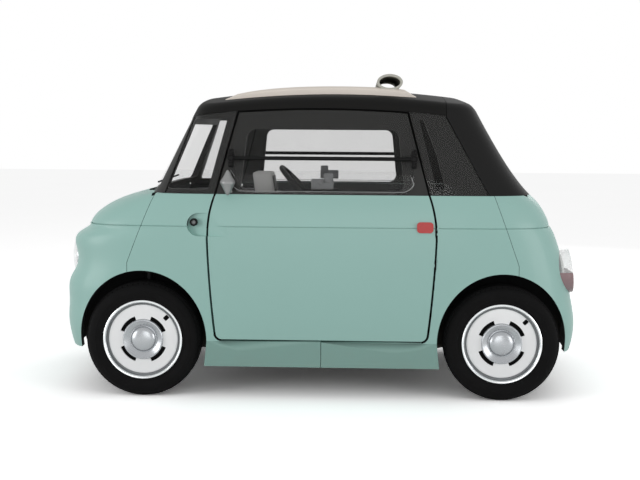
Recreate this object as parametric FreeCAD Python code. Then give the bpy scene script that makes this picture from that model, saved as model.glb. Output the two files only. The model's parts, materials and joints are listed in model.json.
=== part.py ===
import FreeCAD, Part
import math
import os
from FreeCAD import Vector

# A two-seat electric microcar with mirrored nose and tail panels, rear-hinged left door,
# front-hinged right door, rolled-back canvas roof and plain steel wheels.
# Millimetres. The nose points to -X, the right side to +Y, up is +Z, and Z is zero on the road.

# Overall sizes
overall_length = 2535.0
body_width = 1400.0
wheelbase = 1728.0
front_overhang = 418.0
sill_level = 154.0
end_foot_level = 226.0
waist_level = 831.0
belt_level = 985.0
roof_level = 1500.0
door_floor_level = 289.0

# Walls and gaps
panel_wall = 30.0
door_wall = 55.0
frame_wall = 28.0
glass_wall = 5.0
seat_gap = 0.3
door_gap = 10.0
panel_gap = 2.0
waist_step = 4.0
groove_height = 4.0
groove_sink = 6.0
overrun = 60.0
# Least cosine between an edge and the direction it runs in
aligned = 0.9

# Body form: how square the plan is, and how far sides and ends draw in
plan_squareness = 7.0
# Places of the outline points in each eighth of the plan, as shares of the half width
plan_point_shares = (0.0, 0.3, 0.55, 0.7, 0.8)
sill_draw_in = 30.0
waist_to_belt_draw_in = 34.0
nose_draw_in = 116.0
tail_draw_in = 136.0
hood_run = 252.0
tail_run = 96.0

# Share of the level between sill and waist, of the nose draw-in and of the tail draw-in
lower_section_shares = [
    (0.00, 0.56, 0.40),
    (0.06, 0.33, 0.25),
    (0.11, 0.21, 0.16),
    (0.20, 0.07, 0.06),
    (0.30, 0.00, 0.03),
    (0.44, 0.04, 0.13),
    (0.60, 0.12, 0.30),
    (0.68, 0.38, 0.40),
    (0.81, 0.41, 0.60),
    (0.93, 0.53, 0.81),
    (1.00, 1.00, 1.00),
]
# Share of the level between waist and belt, of the hood run, tail run and side draw-in
upper_section_shares = [
    (0.00, 0.00, 0.00, 0.00),
    (0.18, 0.05, 0.06, 0.10),
    (0.40, 0.18, 0.22, 0.28),
    (0.62, 0.38, 0.43, 0.50),
    (0.84, 0.68, 0.72, 0.78),
    (1.00, 1.00, 1.00, 1.00),
]

# Cabin form above the belt
screen_foot = -838.0
canopy_foot = 1032.0
cabin_foot_width = 1318.0
screen_run = 268.0
canopy_run = 327.0
cabin_side_draw_in = 106.0
# Share of the level between belt and roof, of the screen run, canopy run and side draw-in
cabin_section_shares = [
    (0.00, 0.000, 0.000, 0.000),
    (0.20, 0.211, 0.261, 0.176),
    (0.40, 0.406, 0.467, 0.371),
    (0.60, 0.603, 0.652, 0.574),
    (0.80, 0.804, 0.825, 0.788),
    (1.05, 1.058, 1.052, 1.063),
]
roof_crown_length = 4700.0
roof_crown_width = 3200.0
roof_middle = 80.0
shoulder_radius_roof = 65.0
roof_rear_slope_top = (600.0, 1513.0)
roof_rear_slope_foot = (820.0, 1352.0)

# Doors: both are one moulding, and the right one is the left one turned half round
door_centre = 12.5
door_half_length = 539.5
door_widest_level = 765.0
door_foot_half_length = 502.0
door_foot_radius = 30.0
door_belt_half_length = 505.0
door_head_half_length = 402.0
door_head_level = 1387.0
head_bow_radius = 5500.0
door_lower_bow_share = 0.64
door_upper_bow_share = 0.80
hinge_offset = 541.0
hinge_inset = 2.0
hinge_levels = (640.0, 800.0)
hinge_barrel_radius = 4.0
hinge_pin_radius = 2.0
hinge_length = 36.0
hinge_eye_length = 14.0
hinge_leaf = 14.0
hinge_leaf_wall = 4.0
window_foot_side_band = 110.0
window_head_side_band = 66.0
window_foot_band = 8.0
window_head_band = 94.0
window_corner_radius = 42.0
flap_side_band = 67.0
flap_head_level = 1150.0
flap_gap = 4.0
flap_corner_radius = 62.0
bar_radius = 8.0
bar_end_inset = 50.6
bar_level = 1157.0
bar_stand_off = 9.0
bracket_length = 34.0
bracket_height = 92.0
bracket_depth = 20.0
marker_length = 77.0
marker_height = 51.0
marker_depth = 5.0
marker_offset = 489.5
marker_level = 837.0
marker_radius = 16.0
mirror_offset = 448.0
mirror_level = 1047.0
mirror_radius = 37.0
mirror_tip_radius = 5.5
mirror_length = 120.0
mirror_stand_off = 62.0
mirror_arm_radius = 7.0

# Door handle recess and button, beside the free edge of each door
recess_start = 640.5
recess_end = 424.0
recess_level = 841.0
recess_height = 110.0
recess_depth = 34.0
button_offset = 608.0
button_level = 852.0
button_radius = 18.0
button_ring = 7.0

# Panel cut lines
nose_cut_head = -768.0
nose_cut_foot = -920.0
nose_cut_foot_level = 655.0
tail_cut_head = 810.0
tail_cut_foot = 951.0
tail_cut_foot_level = 655.0
canopy_seam_head = 604.0
canopy_seam_foot = 809.0
canopy_knee_level = 1358.0
pillar_line_foot = -749.0
pillar_line_head = -606.0
screen_foot_half = 548.0
screen_head_half = 462.0
screen_head_level = 1347.0
screen_band = 30.0
rear_window_foot_half = 440.0
rear_window_head_half = 385.0
rear_window_foot_level = 1070.0
rear_window_head_level = 1330.0
quarter_corner_radius = 8.0
quarter_foot_band = 22.0
quarter_pillar_band = 12.0
quarter_side_band = 46.0
quarter_head_band = 45.0
quarter_slit = 42.0
roof_wall = 30.0
roof_hollow_half_width = 520.0
roof_hollow_front = -520.0
roof_hollow_rear = 650.0
shoulder_level = 1325.0

# Wheel arches
arch_height = 339.0
arch_outer_reach = 314.0
arch_inner_reach = 312.0
arch_foot_flare = 14.0
arch_depth = 320.0
liner_wall = 5.0
liner_gap = 4.0
liner_foot_level = 220.0

# Wheels
tyre_radius = 278.5
tyre_width = 155.0
bead_radius = 180.0
bead_width = 132.0
tread_width = 118.0
tread_flat_width = 98.0
shoulder_drop = 10.0
shoulder_step = 3.0
tyre_wall = 14.0
track = 1180.0
rim_lip_radius = 193.0
rim_lip_depth = 9.0
rim_wall = 5.0
groove_radius = 171.0
groove_depth = 14.0
groove_slope = 3.0
disc_wall = 8.0
disc_edge_radius = 164.0
hub_ring_radius = 95.0
hub_ring_top_radius = 88.0
hub_ring_height = 13.0
dome_radius = 64.0
dome_shoulder_radius = 40.0
dome_shoulder_depth = 12.0
dome_top_depth = 17.0
hub_radius = 38.0
hub_reach = 46.0
slot_count = 4
slot_angle = 45.0
slot_radius = 104.0
slot_width = 17.0
slot_arc = 50.0
valve_radius = 153.0
valve_size = 24.0
valve_angle = 43.0
wheel_bore_radius = 15.0
spindle_clearance = 0.05
spindle_end_gap = 4.0
drum_gap = 5.0

# Steering and suspension
kingpin_offset = 30.0
kingpin_radius = 11.0
knuckle_height = 150.0
brake_radius = 68.0
brake_width = 34.0
arm_radius = 17.0
arm_rod_radius = 13.0
arm_level = 190.0
crossmember_width = 470.0
crossmember_size = 60.0
beam_radius = 26.0
trailing_arm_spread = 352.0
strut_radius = 18.0
strut_y = 476.0
strut_level = 612.0
upper_arm_radius = 12.0
upper_rod_radius = 9.0
tower_half_width = 268.0
liner_door_half_length = 130.0
liner_door_level = 430.0

# Inside
floor_level = 205.0
floor_wall = 30.0
floor_front = -490.0
floor_rear = 520.0
tray_rear = 1000.0
tray_half_width = 300.0
firewall_place = -700.0
firewall_level = 880.0
toe_level = 543.0
bulkhead_place = 610.0
shelf_level = 700.0
shelf_step = 90.0
seat_width = 430.0
seat_spread = 262.0
seat_cushion_level = 520.0
seat_cushion_length = 430.0
seat_cushion_thickness = 110.0
seat_front = -60.0
seat_back_foot = 340.0
seat_back_height = 590.0
seat_back_thickness = 90.0
seat_back_head = 54.0
seat_back_lean = 20.0
plinth_front = 0.0
plinth_rear = 350.0
plinth_width = 287.0
dash_rear = -262.0
dash_half_width = 560.0
dash_head_level = 955.0
dash_lip_level = 934.0
dash_under_level = 864.0
dash_round = 42.0
dash_foot_level = 760.0
dash_overhang = 60.0
dash_seat_level = 910.0
pod_length = 96.0
pod_width = 210.0
pod_level = 1084.0
pod_place = -330.0
column_y = -262.0
steering_radius = 183.0
steering_rim_radius = 13.0
spoke_radius = 10.0
spoke_drop = 26.0
steering_lean = 43.0
steering_top_x = -205.0
steering_top_level = 1100.0
column_radius = 22.0
column_length = 440.0
column_gap = 52.0
hanger_width = 60.0
hanger_top_level = 920.0
shaft_radius = 9.0
shaft_length = 30.0
hub_length = 40.0
steering_hub_radius = 44.0

# Lamps
headlamp_radius = 78.0
headlamp_spread = 405.0
headlamp_level = 662.0
headlamp_depth = 70.0
headlamp_proud = 5.0
tail_lamp_radius = 109.0
tail_lamp_spread = 470.0
tail_lamp_level = 615.0
tail_lamp_depth = 90.0
tail_lamp_proud = 10.0
tail_lamp_lean = 6.5

# Roof
roof_open_front = -470.0
roof_open_rear = 430.0
roof_open_half_width = 395.0
canvas_edge_width = 70.0
canvas_rise = 30.0
roll_place = 333.5
roll_length = 126.0
roll_height = 79.0
roll_wall = 12.0
roll_half_width = 450.0
roll_level = 1527.0

# Heavy blocks
motor_length = 280.0
motor_width = 330.0
motor_height = 240.0
battery_front = 625.0
battery_length = 205.0
battery_width = 600.0
battery_height = 210.0

# Worked-out places
nose_place = -overall_length / 2
tail_place = overall_length / 2
front_axle = nose_place + front_overhang
rear_axle = front_axle + wheelbase
half_width = body_width / 2
waist_height = waist_level - sill_level
belt_height = belt_level - waist_level
cabin_height = roof_level - belt_level
steer_y = track / 2 - kingpin_offset
far = overall_length + body_width


def unit_outline():
    """Corners of a squared-off oval of half size one, and their running distance."""
    eighth = [(1.0, 0.0)]
    for across in plan_point_shares[1:]:
        eighth.append(((1 - across ** plan_squareness) ** (1 / plan_squareness), across))
    middle = 0.5 ** (1 / plan_squareness)
    quarter = eighth + [(middle, middle)] + [(y, x) for x, y in reversed(eighth[1:])]
    points = []
    for turn in range(4):
        for x, y in quarter:
            points.append([(x, y), (-y, x), (-x, -y), (y, -x)][turn])
    distance = [0.0]
    for start, end in zip(points, points[1:] + points[:1]):
        distance.append(distance[-1] + math.hypot(end[0] - start[0], end[1] - start[1]))
    return points, distance


outline_points, outline_distance = unit_outline()


def plan_section(level, front, rear, half):
    """Closed smooth plan outline, a squared-off oval, at one level."""
    points = [Vector((rear if x > 0 else -front) * x, half * y, level) for x, y in outline_points]
    curve = Part.BSplineCurve()
    curve.interpolate(Points=points, PeriodicFlag=True, Parameters=outline_distance)
    return Part.Wire([curve.toShape()])


def side_width(level):
    """Half the body width at a level between sill and waist."""
    below = (waist_level - level) / waist_height
    return half_width - sill_draw_in * below ** 2


def lower_form(inset):
    """Solid below the waist, drawn in all round by the inset."""
    sections = []
    for up, nose, tail in lower_section_shares:
        level = sill_level + up * waist_height
        front = nose_place + nose * nose_draw_in + inset
        rear = tail_place - tail * tail_draw_in - inset
        sections.append(plan_section(level, front, rear, side_width(level) - inset))
    return Part.makeLoft(sections, True)


def upper_form(inset, drop=0.0):
    """Solid between waist and belt, its top lowered by the drop."""
    sections = []
    for up, hood, tail, side in upper_section_shares:
        level = waist_level + up * (belt_height - drop)
        front = nose_place + nose_draw_in + waist_step + hood * hood_run + inset
        rear = tail_place - tail_draw_in - waist_step - tail * tail_run - inset
        half = half_width - waist_step - side * waist_to_belt_draw_in - inset
        sections.append(plan_section(level, front, rear, half))
    return Part.makeLoft(sections, True)


def cabin_form(inset):
    """Solid of the cabin walls above the belt, drawn in by the inset and open-ended above the roof."""
    sections = []
    for up, screen, canopy, side in cabin_section_shares:
        level = belt_level + up * cabin_height
        front = screen_foot + screen * screen_run + inset
        rear = canopy_foot - canopy * canopy_run - inset
        half = cabin_foot_width / 2 - side * cabin_side_draw_in - inset
        sections.append(plan_section(level, front, rear, half))
    return Part.makeLoft(sections, True)


def crown_form(drop):
    """Solid under the roof's crown, curved along and across."""
    top = roof_level - drop
    side = half_width + overrun
    fall = side ** 2 / (2 * roof_crown_width)
    left = Vector(roof_middle, -side, top - fall)
    right = Vector(roof_middle, side, top - fall)
    low_left = Vector(roof_middle, -side, belt_level - overrun)
    low_right = Vector(roof_middle, side, belt_level - overrun)
    edges = [Part.Arc(left, Vector(roof_middle, 0, top), right).toShape(),
             Part.LineSegment(right, low_right).toShape(),
             Part.LineSegment(low_right, low_left).toShape(),
             Part.LineSegment(low_left, left).toShape()]
    face = Part.Face(Part.Wire(edges))
    centre = Vector(roof_middle, 0, top - roof_crown_length)
    sweep = 2 * math.degrees(math.asin(overall_length / 2 / roof_crown_length))
    face.rotate(centre, Vector(0, 1, 0), -sweep / 2)
    return face.revolve(centre, Vector(0, 1, 0), sweep)


def rounded_cabin():
    """Cabin with its crowned roof, the slope at its rear end and a rounded shoulder."""
    slope = side_prism([roof_rear_slope_top, roof_rear_slope_foot, (far, roof_rear_slope_foot[1]),
                        (far, roof_rear_slope_top[1])], -half_width - overrun, half_width + overrun)
    solid = cabin_form(0.0).common(crown_form(0.0)).cut(slope)
    shoulder = [edge for edge in solid.Edges if edge.BoundBox.ZMin > belt_level + cabin_height / 2]
    return solid.makeFillet(shoulder_radius_roof, shoulder)


def block(x0, x1, y0, y1, z0, z1):
    """Box between two corners."""
    return Part.makeBox(x1 - x0, y1 - y0, z1 - z0, Vector(x0, y0, z0))


def side_prism(points, y0, y1):
    """Outline in X and Z, pushed along Y."""
    corners = [Vector(x, y0, z) for x, z in points]
    face = Part.Face(Part.makePolygon(corners + corners[:1]))
    return face.extrude(Vector(0, y1 - y0, 0))


def edge_prism(edges, y0, y1):
    """Outline of edges in the plane Y = 0, pushed along Y."""
    face = Part.Face(Part.Wire(Part.sortEdges(edges)[0]))
    face.translate(Vector(0, y0, 0))
    return face.extrude(Vector(0, y1 - y0, 0))


def rounded_side_prism(points, radius, y0, y1):
    """Outline in X and Z with its upright corners rounded, pushed along Y."""
    solid = side_prism(points, y0, y1)
    across = [e for e in solid.Edges if abs(e.tangentAt(e.FirstParameter).y) > aligned]
    return solid.makeFillet(radius, across)


def rod(start, end, radius):
    """Round bar between two points."""
    path = end - start
    return Part.makeCylinder(radius, path.Length, start, path)


def mirrored(shape):
    """Copy on the other side of the car."""
    return shape.mirror(Vector(0, 0, 0), Vector(0, 1, 0))


def half_turned(shape):
    """Copy turned half round about the middle of the doors."""
    copy = shape.copy()
    copy.rotate(Vector(door_centre, 0, 0), Vector(0, 0, 1), 180)
    return copy


def save(name, shapes):
    """Write the solids of one sub-part."""
    solids = [solid for shape in shapes for solid in shape.Solids]
    shape = solids[0] if len(solids) == 1 else Part.makeCompound(solids)
    shape.exportStep("parts/" + name + ".step")
    print(name, len(solids), shape.isValid(), round(shape.Volume / 1e6, 2), "litres")


def head_fall(reach, grow):
    """Fall of the bowed line over the doors, grown by a clearance, at a distance from its middle."""
    radius = head_bow_radius + grow
    return radius - math.sqrt(radius ** 2 - reach ** 2)


def under_head_line(grow):
    """Space between the belt and the bowed line over the doors, across the car."""
    reach = overall_length / 2
    top = door_head_level + grow
    left = Vector(door_centre - reach, 0, top - head_fall(reach, grow))
    right = Vector(door_centre + reach, 0, top - head_fall(reach, grow))
    low_left = Vector(left.x, 0, belt_level)
    low_right = Vector(right.x, 0, belt_level)
    edges = [Part.Arc(left, Vector(door_centre, 0, top), right).toShape(),
             Part.LineSegment(right, low_right).toShape(),
             Part.LineSegment(low_right, low_left).toShape(),
             Part.LineSegment(low_left, left).toShape()]
    return edge_prism(edges, -far, far)


def door_edges(grow):
    """Edges of the door outline, grown by a clearance."""
    def place(half, level):
        return Vector(door_centre + half, 0, level)

    widest = door_half_length + grow
    foot = door_foot_half_length + grow
    belt = door_belt_half_length + grow
    head = door_head_half_length + grow
    floor = door_floor_level - grow
    top = door_head_level + grow
    corner = top - head_fall(head, grow)
    middle_level = (door_floor_level + door_widest_level) / 2
    middle = foot + (widest - foot) * door_lower_bow_share
    upper_level = (door_widest_level + belt_level) / 2
    upper = belt + (widest - belt) * door_upper_bow_share
    edges = []
    for side in (-1, 1):
        low = place(side * foot, floor)
        wide = place(side * widest, door_widest_level)
        waist = place(side * belt, belt_level)
        edges.append(Part.Arc(low, place(side * middle, middle_level), wide).toShape())
        edges.append(Part.Arc(wide, place(side * upper, upper_level), waist).toShape())
        edges.append(Part.LineSegment(waist, place(side * head, corner)).toShape())
    edges.append(Part.LineSegment(place(-foot, floor), place(foot, floor)).toShape())
    edges.append(Part.Arc(place(-head, corner), place(0, top), place(head, corner)).toShape())
    return edges


def door_prism(grow):
    """Space of the left door across the left half of the car, with rounded foot corners."""
    solid = edge_prism(door_edges(grow), -half_width - overrun, -overrun)
    feet = []
    for edge in solid.Edges:
        along = abs(edge.tangentAt(edge.FirstParameter).y) > aligned
        if along and edge.BoundBox.ZMax < door_floor_level + door_foot_radius / 2:
            feet.append(edge)
    return solid.makeFillet(door_foot_radius + grow, feet)


def arch_prism(axle, outward, grow=0.0):
    """Space of one wheel arch on the left side; outward is -1 at the nose and 1 at the tail."""
    outer = arch_outer_reach + grow
    inner = arch_inner_reach + grow
    height = arch_height + grow
    inner_side = -half_width + arch_depth
    edges = []
    for reach, side in ((outer, outward), (inner, -outward)):
        if reach >= height:
            ellipse = Part.Ellipse(Vector(0, 0, 0), reach, height)
        else:
            ellipse = Part.Ellipse(Vector(0, 0, 0), height, reach)
        solid = Part.Face(Part.Wire([ellipse.toShape()])).extrude(Vector(0, 0, far))
        if reach < height:
            solid.rotate(Vector(0, 0, 0), Vector(0, 0, 1), 90)
        solid.rotate(Vector(0, 0, 0), Vector(1, 0, 0), 90)
        solid.translate(Vector(axle, 0, tyre_radius))
        x0 = min(axle, axle + side * far)
        keep = block(x0, x0 + far, -half_width - overrun, inner_side, tyre_radius, far)
        edges.append(solid.common(keep))
    low = side_prism([(axle + outward * outer, 0), (axle + outward * outer, tyre_radius),
                      (axle - outward * inner, tyre_radius), (axle - outward * (inner - arch_foot_flare), sill_level),
                      (axle - outward * (inner - arch_foot_flare), 0)], -half_width - overrun, inner_side)
    return edges[0].fuse([edges[1], low])


# Body forms shared by the panels
outer_lower = lower_form(0.0)
outer_upper = upper_form(0.0)
outer_cabin = rounded_cabin()
panel_lower = lower_form(panel_wall)
panel_upper = upper_form(panel_wall, panel_wall)
door_lower = lower_form(door_wall)
door_upper = upper_form(door_wall, 0.0)
arches_left = arch_prism(front_axle, -1).fuse(arch_prism(rear_axle, 1))
arches = arches_left.fuse(mirrored(arches_left))


def groove_ring():
    """Shallow groove all round the body, just above the waist."""
    slab = block(-far, far, -far, far, waist_level, waist_level + groove_height)
    return slab.common(upper_form(-groove_sink)).cut(upper_form(groove_sink))


waist_groove = groove_ring()


def body_ring(inner_lower, inner_upper):
    """Wall between the outer form and an inner form."""
    return outer_lower.cut(inner_lower).fuse(outer_upper.cut(inner_upper).cut(waist_groove))


def nose_region():
    """Space ahead of the cut line between nose and front wing."""
    return [(-far, end_foot_level), (nose_cut_foot, end_foot_level), (nose_cut_foot, nose_cut_foot_level),
            (nose_cut_head, belt_level + overrun), (-far, belt_level + overrun)]


def tail_region():
    """Space behind the cut line between rear wing and tail."""
    return [(far, end_foot_level), (tail_cut_foot, end_foot_level), (tail_cut_foot, tail_cut_foot_level),
            (tail_cut_head, belt_level + overrun), (far, belt_level + overrun)]


def wing_region(head_in, foot_in, foot_level, gap):
    """Space between a panel cut line and the middle of the door."""
    return [(foot_in + gap, 0), (foot_in + gap, foot_level), (head_in + gap, belt_level + overrun),
            (door_centre, belt_level + overrun), (door_centre, 0)]


ring = body_ring(panel_lower, panel_upper)
cabin_void = block(screen_foot + panel_wall, canopy_foot - panel_wall, -half_width, half_width,
                   belt_level - panel_wall - overrun, belt_level + overrun)
cabin_void = cabin_void.common(upper_form(panel_wall, -overrun))


def recess_cutter():
    """Scooped hand recess on the left side, deepest at its round front end."""
    low = recess_level - recess_height / 2
    start = door_centre - recess_start
    end = door_centre - recess_end
    radius = recess_height / 2
    depth = recess_depth + overrun
    outside = -half_width - overrun
    slot = block(start + radius, end, outside, outside + depth * 2, low, low + recess_height)
    nose = Part.makeCylinder(radius, depth * 2, Vector(start + radius, outside, recess_level), Vector(0, 1, 0))
    corners = [Vector(start, outside, low), Vector(end, outside, low), Vector(end, -half_width - waist_step, low),
               Vector(start, -half_width + recess_depth, low)]
    floor = Part.Face(Part.makePolygon(corners + corners[:1])).extrude(Vector(0, 0, recess_height))
    return slot.fuse(nose).common(floor)


recess = recess_cutter()


def nose_shell():
    """Nose: bumper, face, hood and the fronts of the wings in one moulding."""
    shell = ring.common(side_prism(nose_region(), -far, far))
    lamps = headlamp_bodies(headlamp_radius + seat_gap, overrun)
    return shell.cut(arches).cut(cabin_void).cut(lamps[0]).cut(lamps[1])


def tail_shell():
    """Tail: the nose moulding's partner."""
    shell = ring.common(side_prism(tail_region(), -far, far))
    lamps = tail_lamp_bodies(tail_lamp_radius + seat_gap)
    return shell.cut(arches).cut(cabin_void).cut(lamps[0]).cut(lamps[1])


def side_wall():
    """Left side wall of the body, as thick as the doors, with the door opening cut."""
    wall = body_ring(door_lower, door_upper)
    left = block(-far, far, -far, -half_width + door_wall * 3, 0, far)
    wall = wall.common(left).cut(arches_left)
    return wall.cut(door_prism(door_gap))


def wings(wall, region):
    """Left wing between a panel cut line and the door, above the sill."""
    above = block(-far, far, -far, 0, door_floor_level - door_gap, far)
    return wall.common(side_prism(region, -far, 0)).common(above)


def sill(wall):
    """Left sill below the door, in a front and a rear piece."""
    below = block(nose_cut_foot + panel_gap, tail_cut_foot - panel_gap, -far, 0,
                  0, door_floor_level - door_gap)
    split = block(door_centre - panel_gap / 2, door_centre + panel_gap / 2, -far, far, 0, far)
    return wall.common(below).cut(split)


def headlamp_bodies(radius, ahead=0.0):
    """Left and right headlamp solids at a given radius, lengthened ahead of their faces."""
    front = nose_place + lower_section_shares[8][1] * nose_draw_in - headlamp_proud
    lamps = []
    for side in (-1, 1):
        place = Vector(front - ahead, side * headlamp_spread, headlamp_level)
        lamps.append(Part.makeCylinder(radius, headlamp_depth + ahead, place, Vector(1, 0, 0)))
    return lamps


def tail_lamp_bodies(radius):
    """Left and right tail lamp solids at a given radius."""
    lamps = []
    lean = math.radians(tail_lamp_lean)
    axis = Vector(-math.cos(lean), 0, -math.sin(lean))
    rear = tail_place - lower_section_shares[7][2] * tail_draw_in
    for side in (-1, 1):
        place = Vector(rear, side * tail_lamp_spread, tail_lamp_level) - axis * tail_lamp_proud
        lamps.append(Part.makeCylinder(radius, tail_lamp_depth, place, axis))
    return lamps


def hinge_axis(level):
    """Place on the left door's hinge line, in the gap behind the door."""
    return Vector(door_centre + hinge_offset, -half_width + hinge_inset, level)


def hinge_posts():
    """Pins, with an eye at each end and a leaf, that the left door hangs on."""
    posts = []
    eye = (hinge_length - hinge_eye_length) / 2
    for level in hinge_levels:
        foot = hinge_axis(level)
        posts.append(Part.makeCylinder(hinge_pin_radius, hinge_length, foot))
        for start in (level, level + hinge_length - eye):
            posts.append(Part.makeCylinder(hinge_barrel_radius, eye, hinge_axis(start)))
            posts.append(block(foot.x, foot.x + hinge_leaf, foot.y, foot.y + hinge_leaf_wall, start, start + eye))
    return posts


def hinge_eyes():
    """Eyes of the left door, turning on the pins."""
    eyes = []
    eye = (hinge_length - hinge_eye_length) / 2
    for level in hinge_levels:
        foot = hinge_axis(level + eye + seat_gap)
        length = hinge_eye_length - seat_gap * 2
        leaf = block(foot.x - hinge_leaf, foot.x, foot.y, foot.y + hinge_leaf_wall, foot.z, foot.z + length)
        barrel = Part.makeCylinder(hinge_barrel_radius, length, foot)
        bore = Part.makeCylinder(hinge_pin_radius + seat_gap, length, foot)
        eyes.append(leaf.fuse(barrel).cut(bore))
    return eyes


def hinge_room():
    """Round room on the left door's hinge line, in which the eyes turn."""
    radius = hinge_barrel_radius + seat_gap
    length = hinge_length + seat_gap * 2
    return [Part.makeCylinder(radius, length, hinge_axis(level - seat_gap)) for level in hinge_levels]


def door_panel():
    """Lower left door, a thick moulding with a rounded foot and its hinge eyes."""
    wall = body_ring(door_lower, door_upper)
    panel = wall.common(door_prism(0.0))
    panel = panel.common(block(-far, far, -far, 0, 0, belt_level))
    return panel.cut(recess).cut(hinge_room()).fuse(hinge_eyes())


def lean_half(level):
    """Half length of the door at a level above the belt."""
    lean = (door_belt_half_length - door_head_half_length) / (door_head_level - belt_level)
    return door_belt_half_length - lean * (level - belt_level)


def window_outline():
    """Corners of the hole in the door's window frame."""
    low = belt_level + window_foot_band
    high = door_head_level - window_head_band
    low_half = lean_half(low) - window_foot_side_band
    high_half = lean_half(high) - window_head_side_band
    return [(door_centre - low_half, low), (door_centre + low_half, low),
            (door_centre + high_half, high), (door_centre - high_half, high)]


frame_outer = cabin_form(glass_wall + seat_gap)
frame_inner = cabin_form(glass_wall + seat_gap + frame_wall)
glass_inner = cabin_form(glass_wall)
below_roof = under_head_line(door_gap - seat_gap)
frame_ring = frame_outer.cut(frame_inner).common(below_roof)
glass_ring = cabin_form(0.0).cut(glass_inner).common(below_roof)


def door_frame():
    """Black window frame of the left door."""
    frame = frame_ring.common(door_prism(0.0))
    opening = rounded_side_prism(window_outline(), window_corner_radius, -far, 0)
    return frame.cut(opening)


def door_glass():
    """Fixed upper pane and hinged lower pane of the left door."""
    pane = glass_ring.common(door_prism(0.0))
    upper = pane.common(block(-far, far, -far, 0, flap_head_level + flap_gap, far))
    half = door_belt_half_length - flap_side_band
    foot = belt_level + flap_gap
    outline = [(door_centre - half, foot), (door_centre + half, foot),
               (door_centre + half, flap_head_level), (door_centre - half, flap_head_level)]
    lower = pane.common(rounded_side_prism(outline, flap_corner_radius, -far, 0))
    return [upper, lower]


def side_surface(level):
    """Distance from the middle of the car to the cabin side at a level, at mid length."""
    up = (level - belt_level) / cabin_height
    for low, high in zip(cabin_section_shares, cabin_section_shares[1:]):
        if low[0] <= up <= high[0]:
            mix = (up - low[0]) / (high[0] - low[0])
            share = low[3] + mix * (high[3] - low[3])
            return cabin_foot_width / 2 - share * cabin_side_draw_in
    return cabin_foot_width / 2


def window_bar():
    """Bar across the left door window with a hinge bracket at each end."""
    y = -side_surface(bar_level) - bar_stand_off - bar_radius
    half = door_belt_half_length - bar_end_inset
    bar = rod(Vector(door_centre - half, y, bar_level), Vector(door_centre + half, y, bar_level), bar_radius)
    solid = bar
    for side in (-1, 1):
        x = door_centre + side * (half - bracket_length / 2)
        bracket = block(x - bracket_length / 2, x + bracket_length / 2, y - bar_radius, y + bracket_depth,
                        bar_level - bracket_height / 2, bar_level + bracket_height / 2)
        solid = solid.fuse(bracket.cut(outer_cabin))
    return max(solid.Solids, key=lambda piece: piece.Volume)


def mirror_body():
    """Diamond-shaped mirror on a short arm at the free end of the left door."""
    x = door_centre - mirror_offset
    y = -side_surface(mirror_level) - mirror_stand_off
    upper = Part.makeCone(mirror_radius, mirror_tip_radius, mirror_length / 2,
                          Vector(x, y, mirror_level), Vector(0, 0, 1))
    lower = Part.makeCone(mirror_radius, mirror_tip_radius, mirror_length / 2,
                          Vector(x, y, mirror_level), Vector(0, 0, -1))
    arm = rod(Vector(x, y, mirror_level), Vector(x, -side_surface(mirror_level) + glass_wall, mirror_level),
              mirror_arm_radius)
    return upper.fuse([lower, arm.cut(glass_inner)])


def marker():
    """Plain red marker near the hinged end of the left door."""
    x = door_centre + marker_offset
    outline = [(x - marker_length / 2, marker_level - marker_height / 2),
               (x + marker_length / 2, marker_level - marker_height / 2),
               (x + marker_length / 2, marker_level + marker_height / 2),
               (x - marker_length / 2, marker_level + marker_height / 2)]
    pad = rounded_side_prism(outline, marker_radius, -half_width - marker_depth, -half_width + marker_depth)
    return pad.cut(outer_lower).cut(outer_upper)


def screen_space(grow):
    """Space of the windscreen pane, grown all round."""
    low = belt_level - grow
    high = screen_head_level + grow
    corners = [(-screen_foot_half - grow, low), (screen_foot_half + grow, low),
               (screen_head_half + grow, high), (-screen_head_half - grow, high)]
    return front_prism(corners, window_corner_radius + grow, -far, -overrun)


def pillar_trim():
    """Outer skin of both windscreen pillars, flush with the glass."""
    ahead = side_prism([(-far, 0), (pillar_line_foot, belt_level), (pillar_line_head, door_head_level + door_gap),
                        (pillar_line_head, far), (-far, far)], -far, far)
    skin = cabin_form(0.0).cut(cabin_form(glass_wall + seat_gap + panel_gap)).common(below_roof)
    return skin.common(ahead).cut(screen_space(panel_gap))


def cabin_frame():
    """Black cage of pillars and window frames below the roof."""
    frame = frame_ring.cut(canopy_space(panel_gap))
    frame = frame.cut(door_prism(door_gap)).cut(mirrored(door_prism(door_gap)))
    frame = frame.cut(screen_space(-screen_band))
    for opening in quarter_openings():
        frame = frame.cut(opening)
    return frame.fuse(pillar_trim())


def roof_shell():
    """Crowned roof with its rounded shoulder, hollow below and open under the canvas."""
    top = outer_cabin.cut(under_head_line(door_gap))
    hollow = block(roof_hollow_front, roof_hollow_rear, -roof_hollow_half_width, roof_hollow_half_width,
                   belt_level, roof_level).common(crown_form(roof_wall))
    return top.cut(hollow).cut(roof_opening()).cut(canopy_space(panel_gap))


def canopy_space(gap):
    """Space behind the canopy seam, less a gap."""
    return side_prism([(canopy_seam_foot - gap, belt_level), (canopy_seam_head - gap, canopy_knee_level),
                       (canopy_seam_head - gap, roof_level + overrun), (far, roof_level + overrun),
                       (far, belt_level)], -far, far)


def front_prism(points, radius, x0, x1):
    """Outline in Y and Z with rounded corners, pushed along X."""
    corners = [Vector(x0, y, z) for y, z in points]
    solid = Part.Face(Part.makePolygon(corners + corners[:1])).extrude(Vector(x1 - x0, 0, 0))
    along = [e for e in solid.Edges if abs(e.tangentAt(e.FirstParameter).x) > aligned]
    return solid.makeFillet(radius, along)


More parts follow.
